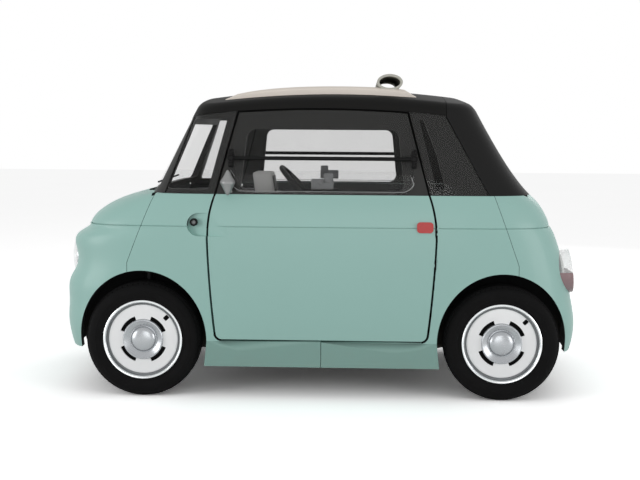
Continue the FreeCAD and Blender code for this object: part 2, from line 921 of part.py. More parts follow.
def roof_opening():
    """Hole in the roof under the canvas."""
    solid = block(roof_open_front, roof_open_rear, -roof_open_half_width, roof_open_half_width,
                  shoulder_level, roof_level + overrun)
    upright = [e for e in solid.Edges if abs(e.tangentAt(e.FirstParameter).z) > aligned]
    return solid.makeFillet(window_corner_radius, upright)


def quarter_outline(front):
    """Corners of a quarter window opening on the left side."""
    low = belt_level + quarter_foot_band
    high = door_head_level - quarter_head_band
    low_edge = lean_half(low) + quarter_side_band
    high_edge = lean_half(high) + quarter_side_band
    if front:
        up = (high - belt_level) / (door_head_level + door_gap - belt_level)
        pillar_high = pillar_line_foot + (pillar_line_head - pillar_line_foot) * up
        return [(pillar_line_foot + quarter_pillar_band, low), (door_centre - low_edge, low),
                (door_centre - high_edge, high), (pillar_high + quarter_pillar_band, high)]
    middle = (low + high) / 2
    middle_edge = lean_half(middle) + quarter_side_band
    return [(door_centre + low_edge, low), (door_centre + low_edge + quarter_slit, low),
            (door_centre + middle_edge + quarter_slit, middle),
            (door_centre + high_edge + quarter_slit / 2, high), (door_centre + high_edge, high)]


def quarter_openings():
    """Holes behind the four quarter panes."""
    holes = []
    for front in (True, False):
        left = rounded_side_prism(quarter_outline(front), quarter_corner_radius, -far, -overrun)
        holes += [left, mirrored(left)]
    return holes


def windscreen():
    """Windscreen pane."""
    return glass_ring.common(screen_space(0.0))


def quarter_glass():
    """Four quarter panes beside the doors."""
    behind = side_prism([(pillar_line_foot + panel_gap, belt_level),
                         (pillar_line_head + panel_gap, door_head_level + door_gap),
                         (canopy_seam_head, far), (canopy_seam_head, canopy_knee_level),
                         (canopy_seam_foot, belt_level)], -far, far)
    panes = glass_ring.common(behind).cut(canopy_space(panel_gap))
    return panes.cut(door_prism(door_gap)).cut(mirrored(door_prism(door_gap)))


def canopy():
    """Black rear canopy with its window cut."""
    low = cabin_form(0.0).cut(frame_inner).common(block(-far, far, -far, far, belt_level, shoulder_level))
    high = outer_cabin.common(block(-far, far, -far, far, shoulder_level, far))
    hollow = block(-far, roof_hollow_rear, -roof_hollow_half_width, roof_hollow_half_width,
                   belt_level, roof_level).common(crown_form(roof_wall))
    shell = low.common(canopy_space(0.0)).fuse(high.cut(hollow).common(canopy_space(0.0)))
    return shell.cut(rear_opening(0.0))


def rear_opening(grow):
    """Hole for the rear window."""
    low = rear_window_foot_level - grow
    high = rear_window_head_level + grow
    corners = [(-rear_window_foot_half - grow, low), (rear_window_foot_half + grow, low),
               (rear_window_head_half + grow, high), (-rear_window_head_half - grow, high)]
    return front_prism(corners, window_corner_radius, canopy_seam_head, far)


def rear_window():
    """Rear pane, flush in the canopy."""
    return cabin_form(glass_wall).cut(cabin_form(glass_wall * 2)).common(rear_opening(-seat_gap))


def canvas_strips(grow):
    """Strips along both sides of the roof opening, grown by a clearance."""
    ends = block(roof_open_front + window_corner_radius, roof_open_rear - window_corner_radius, -far, far,
                 shoulder_level, far)
    strip = crown_form(-canvas_rise - grow).cut(crown_form(-seat_gap)).common(ends)
    strips = []
    for side in (-1, 1):
        inner = side * (roof_open_half_width - grow)
        outer = side * (roof_open_half_width + canvas_edge_width + grow)
        band = block(roof_open_front, roof_open_rear, min(inner, outer), max(inner, outer), shoulder_level, far)
        strips.append(strip.common(band))
    return strips


def canvas_edges():
    """Cream canvas edges along both sides of the roof opening."""
    return canvas_strips(0.0)


def canvas_roll():
    """Rolled-back canvas, a hollow oval roll resting on the rear ends of the canvas edges."""
    outer = Part.Ellipse(Vector(0, 0, 0), roll_length / 2, roll_height / 2)
    inner = Part.Ellipse(Vector(0, 0, 0), roll_length / 2 - roll_wall, roll_height / 2 - roll_wall)
    face = Part.Face(Part.Wire([outer.toShape()])).cut(Part.Face(Part.Wire([inner.toShape()])))
    roll = face.extrude(Vector(0, 0, 2 * roll_half_width))
    roll.rotate(Vector(0, 0, 0), Vector(1, 0, 0), 90)
    roll.translate(Vector(roll_place, roll_half_width, roll_level))
    return roll.cut(canvas_strips(seat_gap))


def tyre():
    """Tyre round the Y axis at the origin, open towards the rim."""
    half = tyre_width / 2
    wide = (tyre_radius + rim_lip_radius) / 2
    bead = bead_width / 2
    tread = tread_width / 2
    flat = tread_flat_width / 2
    low = tyre_radius - shoulder_drop
    edges = []
    for side in (-1, 1):
        foot = Vector(0, side * bead, bead_radius)
        lip = Vector(0, side * bead, rim_lip_radius)
        corner = Vector(0, side * (tread + shoulder_step), low)
        crown = Vector(0, side * flat, tyre_radius)
        inner_foot = Vector(0, side * (bead - tyre_wall), bead_radius)
        inner_crown = Vector(0, side * (tread - tyre_wall), tyre_radius - tyre_wall)
        edges.append(Part.LineSegment(foot, lip).toShape())
        edges.append(Part.Arc(lip, Vector(0, side * half, wide), corner).toShape())
        edges.append(Part.Arc(corner, Vector(0, side * tread, tyre_radius - shoulder_step), crown).toShape())
        edges.append(Part.LineSegment(foot, inner_foot).toShape())
        edges.append(Part.Arc(inner_foot, Vector(0, side * (half - tyre_wall), wide), inner_crown).toShape())
    for level, reach in ((tyre_radius, flat), (tyre_radius - tyre_wall, tread - tyre_wall)):
        edges.append(Part.LineSegment(Vector(0, -reach, level), Vector(0, reach, level)).toShape())
    face = Part.Face(Part.Wire(Part.sortEdges(edges)[0]))
    return face.revolve(Vector(0, 0, 0), Vector(0, 1, 0), 360)


def rim():
    """Steel wheel round the Y axis at the origin, its face towards -Y."""
    bead = bead_width / 2
    face_y = -bead + rim_lip_depth
    barrel = bead_radius - seat_gap
    back = face_y + disc_wall
    outline = [
        (0, face_y - dome_top_depth), (dome_shoulder_radius, face_y - dome_shoulder_depth), (dome_radius, face_y),
        (dome_radius, face_y - hub_ring_height), (hub_ring_top_radius, face_y - hub_ring_height),
        (hub_ring_radius, face_y), (groove_radius - groove_slope, face_y), (groove_radius, face_y + groove_depth),
        (barrel - groove_slope, face_y + groove_depth), (barrel - groove_slope, -bead - rim_lip_depth),
        (rim_lip_radius, -bead - rim_lip_depth), (rim_lip_radius, -bead - seat_gap),
        (barrel, -bead - seat_gap), (barrel, bead + seat_gap), (rim_lip_radius, bead + seat_gap),
        (rim_lip_radius, bead + rim_lip_depth), (barrel - rim_wall, bead + rim_lip_depth),
        (barrel - rim_wall, back + groove_depth), (groove_radius, back + groove_depth),
        (disc_edge_radius, back), (0, back),
    ]
    corners = [Vector(0, y, r) for r, y in outline]
    wheel = Part.Face(Part.makePolygon(corners + corners[:1])).revolve(Vector(0, 0, 0), Vector(0, 1, 0), 360)
    for number in range(slot_count):
        wheel = wheel.cut(arc_slot(slot_angle + number * 360 / slot_count, face_y))
    hub = Part.makeCylinder(hub_radius, hub_reach, Vector(0, back, 0), Vector(0, 1, 0))
    bore = Part.makeCylinder(wheel_bore_radius, hub_reach, Vector(0, back, 0), Vector(0, 1, 0))
    wheel = wheel.fuse(hub).cut(bore)
    angle = math.radians(valve_angle)
    notch = Part.makeCylinder(valve_size / 2, overrun, Vector(valve_radius * math.cos(angle), face_y - overrun / 2,
                              valve_radius * math.sin(angle)), Vector(0, 1, 0))
    return wheel.cut(notch)


def arc_slot(middle, face_y):
    """Curved slot through the wheel disc."""
    outer = Part.makeCylinder(slot_radius + slot_width / 2, overrun, Vector(0, 0, 0), Vector(0, 0, 1), slot_arc)
    inner = Part.makeCylinder(slot_radius - slot_width / 2, overrun, Vector(0, 0, 0), Vector(0, 0, 1))
    slot = outer.cut(inner)
    slot.rotate(Vector(0, 0, 0), Vector(0, 0, 1), middle - slot_arc / 2)
    slot.rotate(Vector(0, 0, 0), Vector(1, 0, 0), 90)
    slot.translate(Vector(0, face_y + overrun / 2, 0))
    return slot


def at_wheel(shape, axle, side):
    """Wheel piece placed on its axle; side is -1 on the left and 1 on the right."""
    copy = shape.copy()
    if side > 0:
        copy.rotate(Vector(0, 0, 0), Vector(0, 0, 1), 180)
    copy.translate(Vector(axle, side * track / 2, tyre_radius))
    return copy


hub_outer = track / 2 + bead_width / 2 - rim_lip_depth - disc_wall
spindle_reach = hub_outer - spindle_end_gap
drum_outer = hub_outer - hub_reach - drum_gap


def knuckle(side):
    """Front upright with its kingpin, brake drum and wheel spindle."""
    y = side * steer_y
    half = knuckle_height / 2
    pin = rod(Vector(front_axle, y, tyre_radius - half), Vector(front_axle, y, tyre_radius + half), kingpin_radius * 2)
    drum = rod(Vector(front_axle, side * (drum_outer - brake_width), tyre_radius),
               Vector(front_axle, side * drum_outer, tyre_radius), brake_radius)
    spindle = rod(Vector(front_axle, y, tyre_radius), Vector(front_axle, side * spindle_reach, tyre_radius),
                  wheel_bore_radius - spindle_clearance)
    return pin.fuse([drum, spindle])


def rear_axle_beam():
    """Rear beam with trailing arms, drums and spindles."""
    inner = drum_outer - brake_width
    beam = rod(Vector(rear_axle, -inner, tyre_radius), Vector(rear_axle, inner, tyre_radius), beam_radius)
    pieces = []
    for side in (-1, 1):
        start = Vector(rear_axle, side * inner, tyre_radius)
        pieces.append(rod(start, start + Vector(0, side * brake_width, 0), brake_radius))
        end = Vector(rear_axle, side * spindle_reach, tyre_radius)
        pieces.append(rod(start, end, wheel_bore_radius - spindle_clearance))
        arm_y = side * trailing_arm_spread
        arm_start = Vector(floor_rear + beam_radius * 2, arm_y, floor_level + floor_wall / 2)
        pieces.append(rod(Vector(rear_axle, arm_y, tyre_radius), arm_start, beam_radius))
        pieces.append(rod(arm_start, Vector(arm_start.x, side * (tray_half_width + seat_gap), arm_start.z), beam_radius / 2))
    return beam.fuse(pieces)


def front_arms():
    """Front crossmember, towers, upper and lower arms, struts and rails."""
    half = crossmember_width / 2
    size = crossmember_size / 2
    cross = block(front_axle - size, front_axle + size, -half, half, arm_level - size, arm_level + size)
    low = tyre_radius - knuckle_height / 2 - seat_gap
    high = tyre_radius + knuckle_height / 2 + seat_gap
    pieces = []
    for side in (-1, 1):
        foot = Vector(front_axle, side * steer_y, low - arm_radius)
        pieces.append(rod(Vector(front_axle, side * (half - arm_radius), low - arm_radius), foot, arm_rod_radius))
        foot_base = foot - Vector(0, 0, arm_radius)
        pieces.append(Part.makeCylinder(kingpin_radius * 2, arm_radius * 2, foot_base, Vector(0, 0, 1)))
        tower_low = min(side * (half - size), side * tower_half_width)
        tower_high = max(side * (half - size), side * tower_half_width)
        pieces.append(block(front_axle - size, front_axle + size, tower_low, tower_high, arm_level - size,
                            high + crossmember_size))
        head = Vector(front_axle, side * steer_y, high + upper_arm_radius)
        pieces.append(rod(Vector(front_axle, side * (tower_half_width - size), high + upper_arm_radius), head,
                          upper_rod_radius))
        head_base = head - Vector(0, 0, upper_arm_radius)
        pieces.append(Part.makeCylinder(kingpin_radius * 2, upper_arm_radius * 2, head_base, Vector(0, 0, 1)))
        strut_foot = Vector(front_axle, side * strut_y, low - arm_radius)
        pieces.append(rod(strut_foot, Vector(front_axle, side * strut_y, strut_level),
                          strut_radius))
        rail_y = side * (half - size)
        pieces.append(block(front_axle, floor_front, rail_y - size / 2, rail_y + size / 2,
                            arm_level - size, floor_level - seat_gap))
    return cross.fuse(pieces)


def chassis():
    """Floor tray with the toe board, the rear bulkhead and the battery tray."""
    inner = lower_form(door_wall + seat_gap)
    floor = block(floor_front, floor_rear, -half_width, half_width, floor_level, floor_level + floor_wall)
    floor = floor.common(inner)
    between = half_width - arch_depth - liner_wall * 2
    toe = side_prism([(floor_front + floor_wall, floor_level), (floor_front, floor_level),
                      (firewall_place, toe_level), (firewall_place, firewall_level),
                      (firewall_place + floor_wall, firewall_level), (firewall_place + floor_wall, toe_level),
                      (floor_front + floor_wall, floor_level + floor_wall)], -between, between)
    tray = block(floor_rear - floor_wall, tray_rear, -tray_half_width, tray_half_width,
                 floor_level, floor_level + floor_wall)
    rear = tray_rear + shelf_step
    back = side_prism([(floor_rear - floor_wall, floor_level + floor_wall), (floor_rear, floor_level + floor_wall),
                       (bulkhead_place, shelf_level - shelf_step), (rear, shelf_level),
                       (rear, shelf_level + floor_wall),
                       (bulkhead_place - floor_wall, shelf_level - shelf_step + floor_wall)], -between, between)
    return floor.fuse([toe, tray, back])


def seat(side):
    """Seat with a cushion and a leaning back, on a plinth."""
    y = side * seat_spread
    low = seat_cushion_level - seat_cushion_thickness
    high = low + seat_back_height
    half = seat_width / 2
    lean = math.tan(math.radians(seat_back_lean)) * seat_back_height
    cushion = block(seat_front, seat_front + seat_cushion_length, y - half, y + half, low, seat_cushion_level)
    back = side_prism([(seat_back_foot, low), (seat_back_foot + seat_back_thickness, low),
                       (seat_back_foot + seat_back_thickness + lean, high),
                       (seat_back_foot + seat_back_thickness - seat_back_head + lean, high)], y - half, y + half)
    plinth = block(plinth_front, plinth_rear, y - plinth_width / 2, y + plinth_width / 2, floor_level + floor_wall, low)
    return cushion.fuse([back, plinth])


def dashboard():
    """Dashboard shelf across the cabin, seated on the firewall."""
    wall = firewall_place + floor_wall
    front = firewall_place - dash_overhang
    return side_prism([(wall, dash_foot_level), (dash_rear, dash_under_level), (dash_rear, dash_lip_level),
                       (dash_rear - dash_round, dash_head_level), (front, dash_head_level),
                       (front, dash_seat_level), (wall, dash_seat_level)], -dash_half_width, dash_half_width)


def steering_centre():
    """Middle of the steering wheel."""
    lean = math.radians(steering_lean)
    return Vector(steering_top_x + steering_radius * math.sin(lean), column_y,
                  steering_top_level - steering_radius * math.cos(lean))


def steering_axis():
    """Direction from the column to the driver."""
    lean = math.radians(steering_lean)
    return Vector(math.cos(lean), 0, math.sin(lean))


def steering_column():
    """Column tube hung from the dashboard, with the shaft that the wheel turns on."""
    axis = steering_axis()
    end = steering_centre() - axis * column_gap
    start = end - axis * column_length
    low = end.z + (dash_rear - end.x) * axis.z / axis.x
    hanger = block(dash_rear + seat_gap, dash_rear + column_radius, column_y - hanger_width / 2,
                   column_y + hanger_width / 2, low, hanger_top_level)
    shaft = rod(end, end + axis * shaft_length, shaft_radius)
    return rod(start, end, column_radius).fuse([hanger, shaft])


def steering_wheel():
    """Rim, three spokes and a hub on the column's shaft."""
    centre = steering_centre()
    axis = steering_axis()
    rim_ring = Part.makeTorus(steering_radius, steering_rim_radius, centre, axis)
    column_end = centre - axis * column_gap
    hub = Part.makeCylinder(steering_hub_radius, hub_length, column_end + axis * seat_gap, axis)
    bore = Part.makeCylinder(shaft_radius + spindle_clearance, shaft_length + seat_gap, column_end, axis)
    across = Vector(0, 1, 0)
    down = axis.cross(across)
    spokes = []
    for direction in (across, -across, -down if down.z > 0 else down):
        spokes.append(rod(centre - axis * spoke_drop, centre + direction * steering_radius, spoke_radius))
    return rim_ring.fuse([hub] + spokes).cut(bore)


def instrument_pod():
    """Instrument pod ahead of the steering wheel."""
    return block(pod_place - pod_length / 2, pod_place + pod_length / 2, column_y - pod_width / 2,
                 column_y + pod_width / 2, dash_head_level + seat_gap, pod_level)


def liners():
    """Left wheel-arch liners, front and rear, with a doorway for the suspension."""
    inside = lower_form(door_wall + seat_gap)
    pieces = []
    for axle, outward in ((front_axle, -1), (rear_axle, 1)):
        space = arch_prism(axle, outward, liner_gap + liner_wall)
        hollow = arch_prism(axle, outward, liner_gap)
        wall_y = -half_width + arch_depth
        hollow = hollow.common(block(-far, far, -far, wall_y - liner_wall, 0, far))
        shell = space.cut(hollow).common(inside).common(block(-far, far, -far, 0, liner_foot_level, far))
        doorway = block(axle - liner_door_half_length, axle + liner_door_half_length, wall_y - liner_wall * 2,
                        wall_y + liner_wall, 0, liner_door_level)
        pieces.append(shell.cut(doorway))
    return pieces


os.makedirs("parts", exist_ok=True)

save("nose_shell", [nose_shell()])
save("tail_shell", [tail_shell()])
left_wall = side_wall()
front_wing = wings(left_wall, wing_region(nose_cut_head, nose_cut_foot, nose_cut_foot_level, panel_gap))
rear_wing = wings(left_wall, wing_region(tail_cut_head, tail_cut_foot, tail_cut_foot_level, -panel_gap))
posts = hinge_posts()
far_posts = [half_turned(post) for post in posts]
far_room = [half_turned(piece) for piece in hinge_room()]
save("front_wings", [front_wing.cut(recess), mirrored(front_wing).cut(far_room).fuse(far_posts)])
save("rear_wings", [rear_wing.cut(hinge_room()).fuse(posts), mirrored(rear_wing).cut(half_turned(recess))])
left_sill = sill(left_wall)
save("sills", [left_sill, mirrored(left_sill)])
save("headlamps", headlamp_bodies(headlamp_radius))
save("tail_lamps", tail_lamp_bodies(tail_lamp_radius))
left_liners = liners()
save("arch_liners", left_liners + [mirrored(piece) for piece in left_liners])
save("cabin_frame", [cabin_frame()])
save("roof_shell", [roof_shell()])
save("windscreen", [windscreen()])
save("quarter_glass", [quarter_glass()])
save("canopy", [canopy()])
save("rear_window", [rear_window()])
save("canvas_edges", canvas_edges())
save("canvas_roll", [canvas_roll()])
save("chassis", [chassis()])
save("front_arms", [front_arms()])
save("rear_axle", [rear_axle_beam()])
save("seat_left", [seat(-1)])
save("seat_right", [seat(1)])
save("dashboard", [dashboard()])
save("steering_column", [steering_column()])
save("instrument_pod", [instrument_pod()])
save("steering_wheel", [steering_wheel()])
save("drive_unit", [block(front_axle - motor_length / 2, front_axle + motor_length / 2, -motor_width / 2,
                          motor_width / 2, arm_level + crossmember_size / 2 + seat_gap,
                          arm_level + crossmember_size / 2 + motor_height)])
save("battery", [block(battery_front, battery_front + battery_length, -battery_width / 2, battery_width / 2,
                       floor_level + floor_wall + seat_gap, floor_level + floor_wall + battery_height)])
panel = door_panel()
window_frame = door_frame()
panes = door_glass()
bar = window_bar()
mirror = mirror_body()
red_marker = marker()
for name, turn in (("left", lambda shape: shape), ("right", half_turned)):
    save("door_" + name + "_panel", [turn(panel)])
    save("door_" + name + "_frame", [turn(window_frame)])
    save("door_" + name + "_glass", [turn(pane) for pane in panes])
    save("door_" + name + "_bar", [turn(bar)])
    save("door_" + name + "_mirror", [turn(mirror)])
    save("door_" + name + "_marker", [turn(red_marker)])
button = Part.makeCylinder(button_radius, recess_depth, Vector(door_centre - button_offset,
                           -half_width + waist_step, button_level), Vector(0, 1, 0)).common(recess)
button.translate(Vector(0, -seat_gap, 0))
save("handle_buttons", [button, half_turned(button)])
one_tyre = tyre()
one_rim = rim()
for end, axle in (("front", front_axle), ("rear", rear_axle)):
    for name, side in (("left", -1), ("right", 1)):
        save("tyre_" + end + "_" + name, [at_wheel(one_tyre, axle, side)])
        save("rim_" + end + "_" + name, [at_wheel(one_rim, axle, side)])
save("knuckle_left", [knuckle(-1)])
save("knuckle_right", [knuckle(1)])
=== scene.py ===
import json
import logging
import math
from contextlib import contextmanager
from dataclasses import dataclass
from enum import Enum
from functools import lru_cache
from typing import Any, Callable, Iterator, Sequence

import bpy
from mathutils import Matrix, Vector
from mathutils.bvhtree import BVHTree


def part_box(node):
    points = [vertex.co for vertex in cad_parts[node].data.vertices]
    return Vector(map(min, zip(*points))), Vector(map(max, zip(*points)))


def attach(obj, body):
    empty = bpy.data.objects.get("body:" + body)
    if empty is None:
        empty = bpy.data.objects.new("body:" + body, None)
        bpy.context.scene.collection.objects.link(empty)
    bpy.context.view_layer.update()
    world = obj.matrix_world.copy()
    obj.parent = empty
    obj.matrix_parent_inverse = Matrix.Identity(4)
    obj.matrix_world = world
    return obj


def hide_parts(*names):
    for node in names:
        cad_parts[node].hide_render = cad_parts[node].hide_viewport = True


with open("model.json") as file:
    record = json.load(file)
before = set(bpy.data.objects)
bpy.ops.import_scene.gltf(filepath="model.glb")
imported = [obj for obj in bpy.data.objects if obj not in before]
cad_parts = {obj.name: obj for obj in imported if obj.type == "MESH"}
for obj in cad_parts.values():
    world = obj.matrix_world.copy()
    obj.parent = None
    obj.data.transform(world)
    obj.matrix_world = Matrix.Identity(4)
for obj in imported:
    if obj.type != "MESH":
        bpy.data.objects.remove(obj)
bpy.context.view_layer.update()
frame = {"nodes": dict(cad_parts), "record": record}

log = logging.getLogger("microcar")
logging.basicConfig(level=logging.INFO, format="%(name)s: %(message)s")

Piece = bpy.types.Object
Material = bpy.types.Material
Point = tuple[float, float, float]
Colour = tuple[float, float, float, float]
Profile = Sequence[tuple[float, float]]
SIDES = (("left", -1), ("right", 1))
ENDS = ("front", "rear")
# Place along the car about which the left door's fittings turn to become the right door's.
MIDDLE = 0.0125
DOUBLES = 0.00001
# How much each axis counts in the direction that leads out of the body, which is long and low.
BODY_SHAPE = (0.45, 1.0, 0.7)
DUST = "8D8778"
WORN = "121110"


def linear(code: str) -> Colour:
    """Turn a six-digit colour as seen on a screen into linear light.

    Args:
        code: The colour as six hexadecimal digits.

    Returns:
        Red, green, blue and an alpha of one.
    """
    parts = [int(code[i:i + 2], 16) / 255 for i in (0, 2, 4)]
    red, green, blue = [p / 12.92 if p <= 0.04045 else ((p + 0.055) / 1.055) ** 2.4 for p in parts]
    return red, green, blue, 1.0


def toned(code: str, factor: float) -> Colour:
    """A colour in linear light, made darker or lighter."""
    red, green, blue = [min(1.0, part * factor) for part in linear(code)[:3]]
    return red, green, blue, 1.0


def operator(operation: str, swapped: bool = False) -> Callable[["Wire", Any], "Wire"]:
    """Method that adds a Math node for a wire and a wire or number, swapped for a reflected form."""

    def method(self: "Wire", other: "Wire | float") -> "Wire":
        """Result of the operation."""
        return self.shader.math(operation, *((other, self) if swapped else (self, other)))

    return method


@dataclass(frozen=True, eq=False)
class Wire:
    """A shader socket; arithmetic on it adds Math nodes."""

    shader: "Shader"
    socket: bpy.types.NodeSocket

    __add__ = __radd__ = operator("ADD")
    __mul__ = __rmul__ = operator("MULTIPLY")
    __sub__ = operator("SUBTRACT")
    __rsub__ = operator("SUBTRACT", swapped=True)
    __pow__ = operator("POWER")
    __gt__ = operator("GREATER_THAN")
    __lt__ = operator("LESS_THAN")


class Shader:
    """Node tree of one material, or of the surroundings."""

    def __init__(self, name: str, world: bool = False) -> None:
        """Make an empty material or world of that name."""
        self.owner = (bpy.data.worlds if world else bpy.data.materials).new(name + "_finish")
        self.owner.use_nodes = True
        self.tree = self.owner.node_tree
        self.tree.nodes.clear()
        self.place = self.wire("ShaderNodeTexCoord", output="Object")

    def node(self, kind: str, settings: dict[str, Any] | None = None,
             sockets: dict[str | int, Any] | None = None) -> bpy.types.Node:
        """Add a node.

        Args:
            kind: The node's type.
            settings: Its own settings.
            sockets: Values or wires for its inputs.

        Returns:
            The node.
        """
        made = self.tree.nodes.new(kind)
        for key, value in (settings or {}).items():
            setattr(made, key, value)
        for key, value in (sockets or {}).items():
            if isinstance(value, Wire):
                self.tree.links.new(value.socket, made.inputs[key])
            else:
                made.inputs[key].default_value = value
        return made

    def wire(self, kind: str, settings: dict[str, Any] | None = None,
             sockets: dict[str | int, Any] | None = None, output: int | str = 0) -> Wire:
        """Add a node and return one of its outputs."""
        return Wire(self, self.node(kind, settings, sockets).outputs[output])

    def math(self, operation: str, *values: Wire | float) -> Wire:
        """Math node on wires or numbers."""
        return self.wire("ShaderNodeMath", {"operation": operation}, dict(enumerate(values)))

    def mix(self, factor: Wire | float, first: Any, second: Any) -> Wire:
        """Mix of two colours."""
        return self.wire("ShaderNodeMix", {"data_type": "RGBA"}, {0: factor, 6: first, 7: second}, 2)

    def noise(self, scale: float, detail: float = 2.0, rough: float = 0.5) -> Wire:
        """Noise over the piece's own place, near one half on average."""
        return self.wire("ShaderNodeTexNoise", {},
                         {"Vector": self.place, "Scale": scale, "Detail": detail, "Roughness": rough})

    def split(self) -> tuple[Wire, Wire, Wire]:
        """Object coordinates as three wires."""
        x, y, z = self.node("ShaderNodeSeparateXYZ", {}, {0: self.place}).outputs
        return Wire(self, x), Wire(self, y), Wire(self, z)

    def seen(self) -> Wire:
        """One for the camera's own rays and those that reach a thing through glass or off gloss, else zero."""
        path = self.node("ShaderNodeLightPath").outputs
        rays = [Wire(self, path[name]) for name in ("Is Camera Ray", "Is Glossy Ray", "Is Transmission Ray")]
        return self.math("MINIMUM", rays[0] + rays[1] + rays[2], 1.0)

    def bump(self, height: Wire, strength: float, distance: float) -> Wire:
        """Bump from a height."""
        return self.wire("ShaderNodeBump", {}, {"Strength": strength, "Distance": distance, "Height": height})

    def finish(self, **sockets: Any) -> Material:
        """Close the tree with one Principled shader.

        Args:
            **sockets: Its inputs, with an underscore for each space.

        Returns:
            The material.
        """
        named = {key.replace("_", " "): value for key, value in sockets.items()}
        shader = self.wire("ShaderNodeBsdfPrincipled", {}, named)
        self.node("ShaderNodeOutputMaterial", {}, {"Surface": shader})
        return self.owner


@dataclass(frozen=True)
class Finish:
    """A finish that is made once and then shared."""

    name: str
    colour: str

    def build(self) -> Material:
        """Make the material; each kind of finish has its own."""
        raise NotImplementedError

    def material(self) -> Material:
        """The finish's material, made at first use."""
        return bpy.data.materials.get(self.name + "_finish") or self.build()


@dataclass(frozen=True)
class Moulded(Finish):
    """Moulded or painted skin with a fine grain and slow changes of tone."""

    roughness: float = 0.45
    grain: float = 900.0
    depth: float = 0.00008
    tone: float = 0.05
    coat: float = 0.0
    metallic: float = 0.0
    dust: float = 0.0
    dust_levels: tuple[float, float] = (0.42, 0.12)
    drift: float = 2.3
    patch: float = 14.0
    gloss: float = 0.5

    def build(self) -> Material:
        """Grain as bump, slow tone changes, and dust low down where the finish gathers it."""
        s = Shader(self.name)
        slow = s.noise(self.drift, 3.0)
        fine = s.noise(self.grain, 2.0, 0.6)
        colour = s.mix(slow, toned(self.colour, 1 - self.tone), toned(self.colour, 1 + self.tone))
        rough = (slow - 0.5) * 0.12 + (fine - 0.5) * 0.1 + self.roughness
        if self.dust:
            _, _, height = s.split()
            top, foot = self.dust_levels
            low = s.wire("ShaderNodeMapRange", {}, {0: height, 1: top, 2: foot, 3: 0.0, 4: self.dust})
            patches = low * s.noise(self.patch, 4.0, 0.65)
            colour = s.mix(patches, colour, linear(DUST))
            rough = rough + patches * 0.5
        return s.finish(Base_Color=colour, Roughness=rough, Metallic=self.metallic, Coat_Weight=self.coat,
                        Coat_Roughness=0.12, Specular_IOR_Level=self.gloss,
                        Normal=s.bump(fine, 0.35, self.depth))


@dataclass(frozen=True)
class Glazed(Finish):
    """Clear or tinted pane with a faint film of dust."""

    density: float = 0.12
    index: float = 1.5
    film: float = 9.0

    def build(self) -> Material:
        """See-through pane, a little denser where dust lies."""
        s = Shader(self.name)
        film = s.noise(self.film, 4.0, 0.6)
        alpha = self.density + (film - 0.5) * 0.02
        return s.finish(Base_Color=linear(self.colour), Roughness=film * 0.04 + 0.01, IOR=self.index,
                        Alpha=alpha)


@dataclass(frozen=True)
class Woven(Finish):
    """Cloth of crossing threads."""

    thread: float = 0.0012
    depth: float = 0.0004
    roughness: float = 0.9
    tone: float = 0.12
    slant: float = 0.7
    fade: float = 6.0
    fuzz: float = 1400.0

    def build(self) -> Material:
        """Threads over and under, with a little fuzz and slow fading."""
        s = Shader(self.name)
        x, y, z = s.split()
        turn = math.pi / self.thread
        across = s.math("SINE", (x + z * self.slant) * turn)
        along = s.math("SINE", (y + z * self.slant) * turn)
        weave = across * along * 0.5 + 0.5
        slow = s.noise(self.fade, 4.0)
        fuzz = s.noise(self.fuzz)
        colour = s.mix(weave * 0.5 + slow * 0.5, toned(self.colour, 1 - self.tone),
                       toned(self.colour, 1 + self.tone))
        height = weave * 0.8 + fuzz * 0.2
        return s.finish(Base_Color=colour, Roughness=self.roughness + (fuzz - 0.5) * 0.1,
                        Normal=s.bump(height, 0.6, self.depth))


@dataclass(frozen=True)
class Bright(Finish):
    """Polished or brushed metal with light wear."""

    roughness: float = 0.12
    wear: float = 40.0
    scratch: float = 700.0

    def build(self) -> Material:
        """Metal with fine scratches."""
        s = Shader(self.name)
        wear = s.noise(self.wear, 5.0, 0.7)
        fine = s.noise(self.scratch)
        rough = self.roughness + (wear > 0.6) * 0.05 + fine * 0.05
        return s.finish(Base_Color=linear(self.colour), Metallic=1.0, Roughness=rough,
                        Normal=s.bump(fine, 0.2, 0.00003))


@dataclass(frozen=True)
class Rubber(Finish):
    """Black rubber with slow changes of tone."""

    drift: float = 16.0
    pore: float = 700.0

    def build(self) -> Material:
        """Matte rubber with fine pores."""
        s = Shader(self.name)
        fine = s.noise(self.pore)
        slow = s.noise(self.drift, 4.0)
        colour = s.mix(slow * 0.4, linear(self.colour), linear(WORN))
        return s.finish(Base_Color=colour, Roughness=0.78 + slow * 0.16, Specular_IOR_Level=0.12,
                        Normal=s.bump(fine, 0.3, 0.00003))


@dataclass(frozen=True)
class Lens(Finish):
    """Coloured lamp lens with small prisms behind a smooth face."""

    prism: float = 0.006
    drift: float = 20.0

    def build(self) -> Material:
        """Glossy lens; the prisms show as a bump under the coat."""
        s = Shader(self.name)
        cells = s.wire("ShaderNodeTexVoronoi", {"feature": "F1"}, {"Vector": s.place, "Scale": 1 / self.prism})
        slow = s.noise(self.drift)
        colour = s.mix(cells * 0.8 + slow * 0.2, linear(self.colour), toned(self.colour, 0.72))
        return s.finish(Base_Color=colour, Roughness=0.24 + slow * 0.1, Coat_Weight=0.3, Coat_Roughness=0.05,
                        Specular_IOR_Level=0.2, Normal=s.bump(cells, 0.3, 0.0002))


